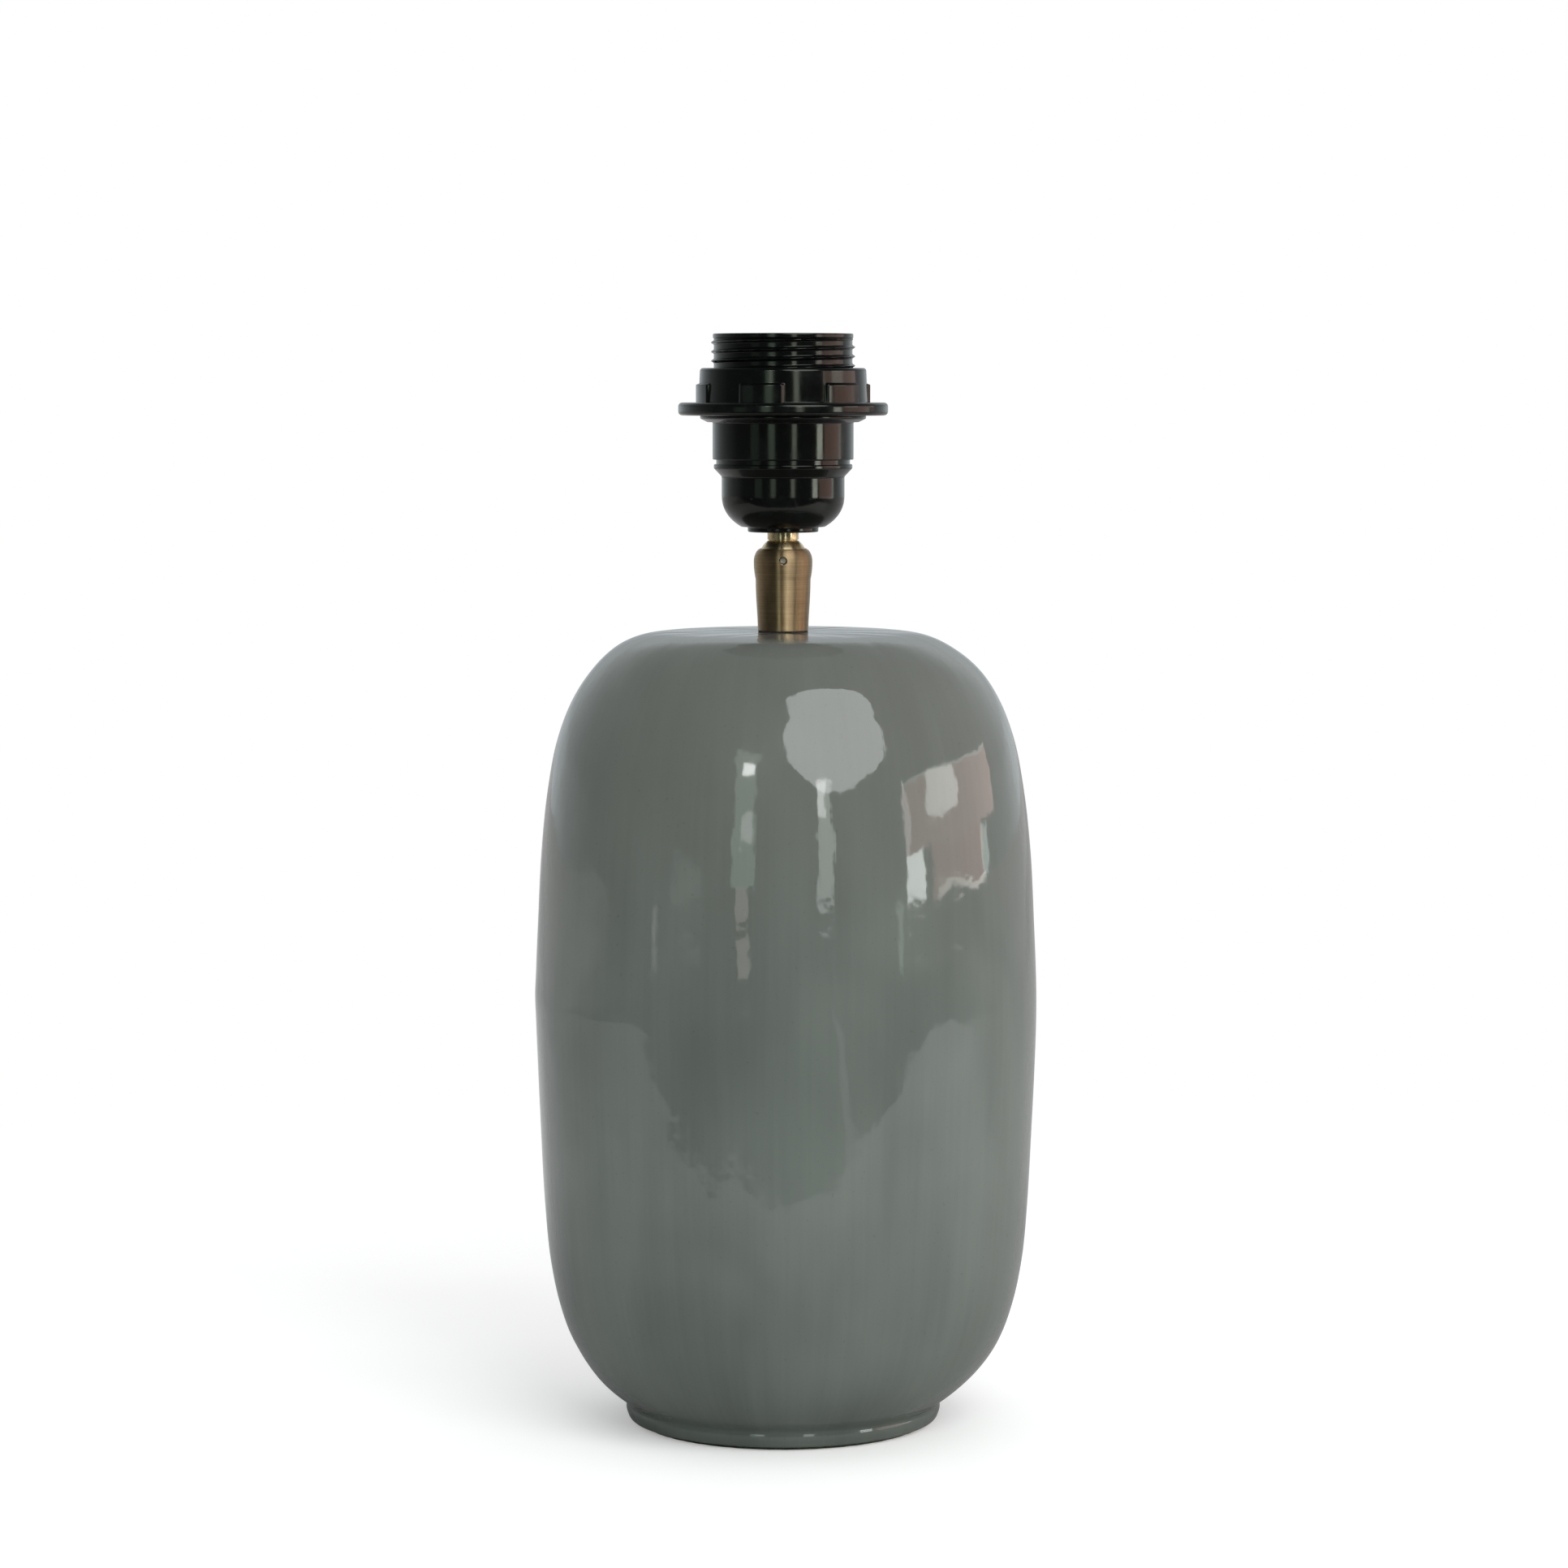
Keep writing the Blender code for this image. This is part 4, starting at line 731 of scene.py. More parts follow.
@dataclass(frozen=True)
class MouldedPlastic(Finish):
    """Black thermoset, moulded glossy in a polished die.

    The eye sees near black with long clear highlights, a slight waviness of the skin, and a few
    duller patches from handling.
    """

    name: str = "moulded_black_plastic"
    slot: str = "black_plastic"
    black: str = "#050606"
    worn: str = "#0d0f10"

    def surface(self, paint: Painter) -> dict[str, Any]:
        """Waves of 3 mm in the skin, and hair-fine handling marks drawn 0.4 mm wide."""
        wave = paint.grain(3.0, detail=1.0)
        rub = paint.grain(7.0, detail=4.0, rough=0.65)
        hair = paint.grain(0.4, 5.0, detail=2.0)
        return {"Base Color": paint.tint(paint.ramp(rub, 0.5, 0.75), self.black, self.worn),
                "Roughness": paint.ramp(paint.sum((rub, 0.7), (hair, 0.3)), 0.38, 0.66, 0.1, 0.18),
                "IOR": 1.45, "Specular IOR Level": 0.38, "Specular Tint": linear("#f8faea"),
                "Normal": paint.relief((wave, 0.004), (hair, 0.0004))}


@dataclass(frozen=True)
class Phenolic(Finish):
    """Brown phenolic with wood-flour filler, pressed hot.

    The eye sees dark brown with a fine lighter fleck and a soft sheen.
    """

    name: str = "pressed_brown_phenolic"
    slot: str = "phenolic"
    body: str = "#2e1d15"
    fleck: str = "#4a3223"

    def surface(self, paint: Painter) -> dict[str, Any]:
        """Flecks of 0.6 mm in a cloudy ground."""
        fleck = paint.grain(0.6, detail=2.0)
        cloud = paint.grain(5.0, detail=3.0)
        share = paint.ramp(paint.sum((fleck, 0.6), (cloud, 0.4)), 0.47, 0.62)
        return {"Base Color": paint.tint(share, self.body, self.fleck), "IOR": 1.55,
                "Roughness": paint.ramp(cloud, 0.35, 0.65, 0.3, 0.48),
                "Normal": paint.relief((fleck, 0.002))}


@dataclass(frozen=True)
class ZincSteel(Finish):
    """Steel turned or stamped, and plated with zinc.

    The eye sees cool silver with a cloudy bloom and a faint yellow cast.
    """

    name: str = "zinc_plated_steel"
    slot: str = "zinc_steel"
    silver: str = "#b8b9b4"
    cast: str = "#a59f88"

    def surface(self, paint: Painter) -> dict[str, Any]:
        """A bloom of 4 mm over spangle of 0.5 mm."""
        bloom = paint.grain(4.0, detail=4.0)
        spangle = paint.grain(0.5, detail=2.0)
        return {"Base Color": paint.tint(paint.ramp(bloom, 0.4, 0.65), self.silver, self.cast),
                "Metallic": 1.0, "Roughness": paint.ramp(bloom, 0.35, 0.65, 0.24, 0.42),
                "Normal": paint.relief((spangle, 0.002))}


@dataclass(frozen=True)
class MouldedRubber(Finish):
    """Black rubber, moulded matt.

    The eye sees a soft dark grey without clear reflections, with a dusty bloom.
    """

    name: str = "moulded_rubber"
    slot: str = "rubber"
    black: str = "#171717"
    bloom: str = "#2c2b29"

    def surface(self, paint: Painter) -> dict[str, Any]:
        """Bloom in clouds of 3 mm, and a skin as fine as 0.3 mm."""
        cloud = paint.grain(3.0, detail=4.0)
        skin = paint.grain(0.3, detail=2.0)
        return {"Base Color": paint.tint(paint.ramp(cloud, 0.4, 0.7), self.black, self.bloom),
                "Roughness": paint.ramp(cloud, 0.35, 0.65, 0.55, 0.75), "IOR": 1.52,
                "Normal": paint.relief((skin, 0.006))}


@dataclass(frozen=True)
class WoolFelt(Finish):
    """Pressed wool felt, dyed dark green.

    The eye sees a matt mat of short crossing fibres, lighter at a glancing view.
    """

    name: str = "pressed_wool_felt"
    slot: str = "felt"
    dye: str = "#26342a"
    fibre: str = "#46584a"

    def surface(self, paint: Painter) -> dict[str, Any]:
        """Fibres drawn 0.25 mm wide, ten times a real one, so that they show."""
        fibre = paint.grain(0.25, 1.4, detail=4.0, rough=0.7, warp=1.5)
        mat = paint.grain(2.2, detail=3.0)
        share = paint.ramp(paint.sum((fibre, 0.7), (mat, 0.3)), 0.42, 0.62)
        return {"Base Color": paint.tint(share, self.dye, self.fibre), "Roughness": 0.95,
                "Sheen Weight": 0.4, "Normal": paint.relief((fibre, 0.08), (mat, 0.05))}


@dataclass(frozen=True)
class SpringBronze(Finish):
    """Phosphor bronze strip, rolled and bent.

    The eye sees warm reddish metal with straight rolling lines.
    """

    name: str = "rolled_spring_bronze"
    slot: str = "spring_bronze"
    bronze: str = "#c9966b"
    heat: str = "#8f6a52"

    def surface(self, paint: Painter) -> dict[str, Any]:
        """Rolling lines 0.2 mm wide, drawn coarser than they are."""
        line = paint.grain(0.2, 8.0, detail=2.0)
        stain = paint.grain(2.5, detail=3.0)
        return {"Base Color": paint.tint(paint.ramp(stain, 0.45, 0.68), self.bronze, self.heat),
                "Metallic": 1.0, "Roughness": paint.ramp(stain, 0.35, 0.65, 0.2, 0.35),
                "Normal": paint.relief((line, 0.001))}


GLAZE, AGED_BRASS, BRIGHT_BRASS = GlazedStoneware(), AgedBrass(), BrightBrass()
PLASTIC, PHENOLIC, ZINC = MouldedPlastic(), Phenolic(), ZincSteel()
RUBBER, FELT, BRONZE = MouldedRubber(), WoolFelt(), SpringBronze()


# Sub-assemblies


@dataclass
class SubAssembly:
    """A group of pieces that are built, dressed and handed to the frame together."""

    made: list[tuple[bpy.types.Object, str, Body, Finish]] = field(default_factory=list, init=False)

    def keep(self, piece: bpy.types.Object, node: str, body: Body, finish: Finish) -> None:
        """Notes a piece, the CAD node that it replaces, the body that it rides on and its finish."""
        self.made.append((piece, node, body, finish))

    def ease(self, node: str, process: str, edge: float, body: Body, finish: Finish) -> None:
        """Keeps a CAD node's own shape, with its edges eased, and names it by how it is made.

        Args:
            node: the CAD node.
            process: the word that ends the piece's name.
            edge: width of the bevel.
            body: the body that it rides on.
            finish: its finish.
        """
        self.keep(eased_copy(node, f"{node}_{process}", edge), node, body, finish)

    def dress(self) -> None:
        """Gives each piece its material, hides the CAD node that it replaces, and ties it to its body."""
        for piece, node, body, finish in self.made:
            piece.data.materials.clear()
            piece.data.materials.append(finish.material())
            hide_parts(node)
            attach(piece, body.value)
            log.info("%s: %d faces, %s, on %s", piece.name, len(piece.data.polygons), finish.name, body.value)


@dataclass
class CeramicBase(SubAssembly):
    """The hollow ceramic body on its rolled foot, its felt ring, and the bush of the cord's hole."""

    height: float = 220.2
    wall: float = 5.5
    seat: float = 9.5
    top_hole: float = 5.6
    foot_opening: float = 36.5
    foot_floor: float = 9.5
    off_true: float = 0.8          # the thrown wall stands this far towards +X of its foot and seat
    front_fullness: float = 2.4    # the shoulder stands this much further out at the front
    shoulder_radii: tuple[float, float] = (24.0, 36.0)     # that fullness sets in between these
    shoulder_heights: tuple[float, float] = (200.0, 216.0)
    wall_radii: tuple[float, float] = (44.0, 56.0)         # and the wall's unevenness between these
    wall_heights: tuple[float, float] = (5.0, 22.0)
    waves: tuple[tuple[float, int, float, float], ...] = (     # size, k, phase and length of each
        (0.10, 2, 0.6, 90.0), (0.07, 3, 2.1, -45.0), (0.05, 5, 4.0, 30.0))
    seam: tuple[float, float] = (119.0, 3.2)               # height of the bulge, and half its width
    groove: tuple[float, float] = (4.2, 0.8)               # the same for the glaze's pool over the foot
    hollow_low: float = 24.0       # the hollow follows the outline from this height upwards
    drill_reach: float = 9.0
    outlet: tuple[float, float] = (60.6, 35.7)
    outlet_normal: tuple[float, float] = (0.9743, -0.2252)
    bush_bore: float = 4.0
    bush_waist: float = 5.4
    bush_flange: float = 7.2
    bush_flange_thickness: float = 1.2
    bush_inner_face: float = 3.4
    felt: tuple[float, float] = (37.7, 40.7)

    def outline(self) -> Profile:
        """The outer surface over the foot, from the neck of the foot up to the seat's edge."""
        stations = [
            (44.05, 4.7), (44.3, 5.05), (45.2, 5.75), (48.2, 8.0), (52.5, 12.0), (56.5, 17.0),
            (60.5, 24.0), (63.6, 33.0), (66.0, 45.0), (67.4, 60.0), (68.5, 80.0), (69.35, 100.0),
            (69.75, 113.0), (69.75, 122.0), (69.1, 140.0), (68.0, 160.0), (66.1, 177.0), (63.6, 190.0),
            (60.0, 200.0), (57.9, 204.0), (54.0, 209.5), (51.0, 212.6), (47.9, 215.1), (44.3, 217.35),
            (41.0, 218.75), (38.3, 219.5), (35.5, 219.9), (30.0, 220.15), (22.0, 220.25),
            (self.seat, self.height),
        ]
        return flowing(stations, step=1.1, soften=1.2)

    def unevenness(self, angle: np.ndarray, radius: np.ndarray, height: np.ndarray) -> np.ndarray:
        """Hand-made departures from a true turning, on the outer wall only.

        Long waves: the sum of cos(k a + phase + height / length) terms, 0.1 mm or so each. The
        luting seam: a bell-shaped bulge round the widest place, stronger towards -X. The shoulder
        is fuller in front, by sin(a)^2 there.
        """
        up = height - FOOT_Z
        outer = smooth_step(*self.wall_radii, radius) * smooth_step(*self.wall_heights, up)
        waves = sum(size * np.cos(k * angle + phase + up / length) for size, k, phase, length in self.waves)
        waves = waves + 0.06 * np.cos(up / 9.0 + 0.8 * np.cos(angle))
        middle, width = self.seam
        seam = (0.12 - 0.10 * np.cos(angle)) * np.exp(-0.5 * ((up - middle) / width) ** 2)
        rim = smooth_step(*self.shoulder_radii, radius) * smooth_step(*self.shoulder_heights, up)
        front = self.front_fullness * np.maximum(-np.sin(angle), 0.0) ** 2
        return outer * (0.6 * waves + seam + self.off_true * np.cos(angle)) + rim * front

    def section(self) -> tuple[Profile, dict[str, np.ndarray]]:
        """The closed loop of foot, wall, seat and hollow, with the marks of its glaze.

        The foot is a low roll under a shallow groove. The hollow's wall is the outline moved in
        along its own normals by the wall's thickness. Clay is bare inside and under the foot.

        Returns:
            The loop, and for each of its points how bare it is, how much darker its glaze is, pooled in
            the groove over the foot and towards the floor, and how open the wall is, which is least at the
            foot.
        """
        outer = self.outline()
        slope = np.gradient(outer, axis=0)
        normal = np.stack([slope[:, 1], -slope[:, 0]], axis=1)
        normal /= np.linalg.norm(normal, axis=1)[:, None]
        inner = (outer - normal * self.wall)[outer[:, 1] > self.hollow_low]
        inner[:, 1] = np.minimum(inner[:, 1], self.height - self.wall)
        inner = inner[inner[:, 0] > self.top_hole + 2.0][::-1]
        foot = flowing([(42.7, 0.0), (43.05, 0.1), (43.3, 0.4), (43.65, 1.2), (43.98, 2.2), (44.05, 2.9),
                        (43.96, 3.5), (43.84, 4.05), (43.9, 4.4)], 0.28)
        seat = np.array([(self.top_hole + 0.4, self.height), (self.top_hole, self.height - 0.4),
                         (self.top_hole, self.height - self.wall)])
        floor = np.array([(self.foot_opening + 0.3, self.foot_floor + 0.4),
                          (self.foot_opening, self.foot_floor - 0.4), (self.foot_opening, 0.6),
                          (self.foot_opening + 0.6, 0.0)])
        profile = np.vstack([foot, outer, seat, inner, floor])
        bare = np.zeros(len(profile))
        bare[0] = 1.0
        bare[len(foot) + len(outer) + 1 :] = 1.0
        up = profile[:, 1]
        middle, width = self.groove
        # darker glaze pooled in the groove over the foot, plus a darkening that grows towards the floor over
        # the lowest 12 mm or so
        pool = 0.3 * np.exp(-(((up - middle) / width) ** 2)) + 0.2 * np.exp(-((up / 12.0) ** 2))
        calm = np.exp(-((up / 11.0) ** 2))
        profile[:, 1] += FOOT_Z
        return profile, {"bare": bare, "pool": pool, "open": 1.0 - calm}

    def outlet_place(self) -> Matrix:
        """The place of the cord's hole: its axis points out of the wall, from the wall's middle."""
        return facing(Vector((0.0, *self.outlet)), Vector((0.0, *self.outlet_normal)))

    def body(self) -> bpy.types.Object:
        """The ceramic in one closed skin, bored for the cord."""
        profile, marks = self.section()
        piece = turned("ceramic_body_thrown", profile, even_angles(256), self.unevenness, marks=marks)
        hole, reach = self.bush_waist + 0.3, self.drill_reach
        bored(piece, [(0.0, -reach), (hole, -reach), (hole, reach), (0.0, reach)], 48, self.outlet_place())
        return piece

    def bush(self) -> bpy.types.Object:
        """The bush: a waist in the hole and a rounded flange against each face of the wall."""
        outer = self.wall / 2 + 0.05
        inner, lip = -self.bush_inner_face, self.bush_flange_thickness
        profile = rounded([
            (self.bush_bore, outer + 0.3 + lip, 0.5), (self.bush_flange, outer + 0.3 + lip, 0.7),
            (self.bush_flange, outer, 0.15), (self.bush_waist, outer, 0.1),
            (self.bush_waist, inner, 0.1), (self.bush_flange, inner, 0.15),
            (self.bush_flange, inner - lip, 0.5), (self.bush_bore, inner - lip, 0.5),
        ], 7)
        return turned("cord_grommet_moulded", profile, even_angles(72), place=self.outlet_place())

    def felt_ring(self) -> bpy.types.Object:
        """The felt: a flat ring with softly frayed edges, cos waves of 0.1 mm on its radius."""
        inner, outer = self.felt
        profile = rounded([(inner, 0.0, 0.25), (outer, 0.0, 0.25), (outer, FOOT_Z, 0.1),
                           (inner, FOOT_Z, 0.1)])

        def fray(angle: np.ndarray, radius: np.ndarray, height: np.ndarray) -> np.ndarray:
            """Two waves round the ring, weaker at the glued face."""
            return 0.06 * (np.cos(37 * angle) + np.cos(61 * angle + 1.0)) * (1.2 - height)

        return turned("felt_ring_cut", profile, even_angles(240), fray)

    def build(self) -> None:
        """Makes the three pieces."""
        self.keep(self.body(), "ceramic_body", Body.BASE, GLAZE)
        self.keep(self.bush(), "cord_grommet", Body.BASE, RUBBER)
        self.keep(self.felt_ring(), "felt_ring", Body.BASE, FELT)


@dataclass
class TopFixing(SubAssembly):
    """The gasket on the seat, and the tube, washers and nut that clamp the swivel from inside."""

    hole: float = 5.3
    ceiling: float = 215.8
    tube: tuple[float, float] = (3.6, 5.0)
    tube_ends: tuple[float, float] = (203.4, 230.3)
    tube_pitch: float = 1.0
    nut_flats: float = 14.0
    nut: tuple[float, float] = (205.9, 210.9)
    gasket_radius: float = 6.95
    rubber_radius: float = 11.0
    rubber_low: float = 213.95     # the rubber washer's lower face, once it is squeezed
    steel_radius: float = 12.5
    steel_low: float = 212.5

    def washer(self, name: str, outer: float, low: float, high: float, edge: float) -> bpy.types.Object:
        """A flat ring on the tube, its outer edges rounded."""
        profile = rounded([(self.hole, low, edge / 2), (outer, low, edge), (outer, high, edge),
                           (self.hole, high, edge / 2)])
        return turned(name, profile, even_angles(96))

    def hex_nut(self) -> bpy.types.Object:
        """A hexagon cut by a cone: radius = min(flats / 2 / cos(angle from a flat), the chamfer's cone)."""
        low, high = self.nut
        corner = self.nut_flats / math.sqrt(3)
        profile = refined(rounded([(self.hole, low, 0.4), (corner, low, 0.0), (corner, high, 0.0),
                                   (self.hole, high, 0.4)], 3), 0.25)

        def hexagon(angle: np.ndarray, radius: np.ndarray, height: np.ndarray) -> np.ndarray:
            """Pulls the outer wall in to the flats and the chamfer, and leaves the bore."""
            flat = self.nut_flats / 2 * hexagon_reach(angle)
            cone = self.nut_flats / 2 - 0.1 + 1.8 * np.minimum(height - low, high - height)
            return np.minimum(np.minimum(flat, cone), radius) - radius

        return turned("hex_nut_chamfered", profile, even_angles(144), hexagon, sharp=25.0)

    def nipple(self) -> bpy.types.Object:
        """The tube, with a rounded thread: the radius falls by half a cosine wave of the helix."""
        bore, outer = self.tube
        low, high = self.tube_ends
        wall = rounded([(bore, low, 0.3), (outer, low, 0.4), (outer, high, 0.4), (bore, high, 0.3)])
        profile = refined(wall, 0.12)

        def thread(angle: np.ndarray, radius: np.ndarray, height: np.ndarray) -> np.ndarray:
            """Cuts the thread into the outside only."""
            phase = helix_phase(angle, height, self.tube_pitch, low)
            return -0.55 * groove_of(phase) * smooth_step(outer - 0.5, outer, radius)

        return turned("threaded_nipple_cut", profile, even_angles(48), thread)

    def build(self) -> None:
        """Makes the six pieces."""
        for name, outer, low, high, edge, finish in (
            ("top_gasket_pressed", self.gasket_radius, SEAT_Z + 0.02, SWIVEL_LOW - 0.02, 0.15, RUBBER),
            ("rubber_washer_pressed", self.rubber_radius, self.rubber_low, self.ceiling - 0.1, 0.4, RUBBER),
            ("steel_washer_stamped", self.steel_radius, self.steel_low, self.rubber_low - 0.05, 0.25, ZINC),
        ):
            node = name.rpartition("_")[0]
            self.keep(self.washer(name, outer, low, high, edge), node, Body.BASE, finish)
        self.ease("lock_washer", "coiled", 0.12, Body.BASE, ZINC)
        self.keep(self.hex_nut(), "hex_nut", Body.BASE, ZINC)
        self.keep(self.nipple(), "threaded_nipple", Body.BASE, ZINC)


@dataclass
class BallSwivel(SubAssembly):
    """The turned brass cup that holds the ball, with its grub screw, spring and seat."""

    ball_gap: float = 7.1
    mouth_rise: float = 3.1
    well: float = 6.4
    bore: float = 5.3
    tube_bore: float = 3.6
    socket_depth: float = 7.9
    web: float = 1.5
    screw: float = 0.9
    screw_ends: tuple[float, float] = (6.85, 7.2)      # how far from the axis the grub screw lies
    hex_socket: float = 0.6
    hex_depth: float = 0.45
    drill_ends: tuple[float, float] = (4.0, 7.86)      # from inside the cup to where the drill widens
    drill_mouth: float = 8.4

    def sideways(self) -> Matrix:
        """The place of the grub screw's axis: from the ball's middle straight out to the front."""
        return facing(Vector((0, 0, BALL_Z)), Vector((0, -1, 0)))

    def cup(self) -> bpy.types.Object:
        """The cup: tapered barrel, waist line, and a rounded rim spun over the ball."""
        barrel = flowing([(7.0, SWIVEL_LOW + 0.25), (7.09, 224.4), (7.24, 227.1), (7.41, 229.8),
                          (7.56, 233.2), (7.62, 235.9)], 0.3)
        rim = flowing([(7.72, 236.3), (7.95, 237.8), (8.11, 240.0), (8.08, 241.4), (7.83, 242.5),
                       (7.4, 243.4), (6.95, 243.95), (6.62, 244.15)], 0.18)
        mouth = math.sqrt(self.ball_gap**2 - self.mouth_rise**2)
        turn = np.linspace(math.acos(mouth / self.ball_gap), -math.acos(self.well / self.ball_gap), 24)
        socket = np.stack([self.ball_gap * np.cos(turn), BALL_Z + self.ball_gap * np.sin(turn)], axis=1)
        floor = SWIVEL_Z + self.socket_depth
        inside = np.array([(self.well, floor + self.web), (self.tube_bore, floor + self.web),
                           (self.tube_bore, floor), (self.bore, floor), (self.bore, SWIVEL_LOW + 0.3),
                           (self.bore + 0.3, SWIVEL_LOW), (6.8, SWIVEL_LOW), (6.95, SWIVEL_LOW + 0.06)])
        profile = np.vstack([barrel, rim, socket, inside])
        cup = turned("swivel_body_turned", profile, even_angles(144), sharp=30.0)
        hole, (inner, outer), wide = self.screw + 0.12, self.drill_ends, self.drill_mouth
        stations = [(0.0, inner), (hole, inner), (hole, outer), (hole + 0.5, wide), (0.0, wide)]
        bored(cup, stations, 32, self.sideways())
        cup.data.shade_smooth()
        cup.data.set_sharp_from_angle(angle=math.radians(30.0))
        return cup

    def grub_screw(self) -> bpy.types.Object:
        """A headless screw with a hexagon socket: the socket's radius = size / cos(angle from a flat)."""
        back, face = self.screw_ends
        floor = face - self.hex_depth
        profile = rounded([(0.0, back, 0.0), (self.screw, back, 0.1), (self.screw, face, 0.15),
                           (self.hex_socket, face, 0.04), (self.hex_socket, floor, 0.0),
                           (0.0, floor - 0.1, 0.0)], 4)

        def hexagon(angle: np.ndarray, radius: np.ndarray, height: np.ndarray) -> np.ndarray:
            """Gives the socket its six sides, and leaves the outside round."""
            inside = (radius < self.hex_socket + 0.1) & (radius > 0.01)
            return np.where(inside, radius * (0.9 * hexagon_reach(angle) - 1.0), 0.0)

        return turned("grub_screw_socket", profile, even_angles(48), hexagon, place=self.sideways())

    def build(self) -> None:
        """Makes the cup and the screw, and eases the hidden spring and seat."""
        self.keep(self.cup(), "swivel_body", Body.BASE, AGED_BRASS)
        self.keep(self.grub_screw(), "grub_screw", Body.BASE, ZINC)
        self.ease("disc_spring", "pressed", 0.08, Body.BASE, ZINC)
        self.ease("ball_seat", "turned", 0.1, Body.SEAT, AGED_BRASS)


@dataclass
class BallStem(SubAssembly):
    """The bored brass ball with its bright neck and the thread that enters the cap."""

    ball: float = 6.8
    bore: float = 3.0
    foot: float = 3.9
    crown: float = 4.45            # radius at which the ball's face ends
    neck: float = 4.35
    undercut: float = 4.0
    undercut_top: float = 246.75
    neck_low: float = 246.85
    thread: float = 4.9
    pitch: float = 1.0
    tip: float = 257.7

    def build(self) -> None:
        """One turned piece: ball, undercut, neck and helical thread."""
        turn = np.linspace(-math.acos(self.foot / self.ball), math.acos(self.crown / self.ball), 40)
        ball = np.stack([self.ball * np.cos(turn), BALL_Z + self.ball * np.sin(turn)], axis=1)
        crown = ball[-1, 1]
        shoulder = CAP_Z + 0.05
        rest = rounded([
            (self.crown - 0.25, crown + 0.12, 0.0), (self.undercut + 0.15, crown + 0.14, 0.0),
            (self.undercut, crown + 0.2, 0.06), (self.undercut, self.undercut_top, 0.06),
            (self.neck, self.neck_low, 0.05),
            (self.neck, shoulder, 0.1), (self.thread, shoulder, 0.1), (self.thread, self.tip, 0.4),
            (self.bore, self.tip, 0.3), (self.bore, ball[0, 1] + 1.0, 0.0),
        ], 4, drop=(2, 0))
        start = np.array([(self.crown - 0.12, crown + 0.06), (self.undercut + 0.15, crown + 0.14)])
        profile = refined(np.vstack([ball, start, rest]), 0.3)
        low = shoulder + 0.6

        def cut(angle: np.ndarray, radius: np.ndarray, height: np.ndarray) -> np.ndarray:
            """Cuts the thread above the shoulder only."""
            phase = helix_phase(angle, height, self.pitch, low)
            depth = 0.5 * groove_of(phase) * smooth_step(low, low + 0.5, height)
            return -depth * smooth_step(self.thread - 0.5, self.thread - 0.05, radius)

        piece = turned("ball_stem_turned", profile, even_angles(96), cut, sharp=30.0)
        self.keep(piece, "ball_stem", Body.HEAD, BRIGHT_BRASS)


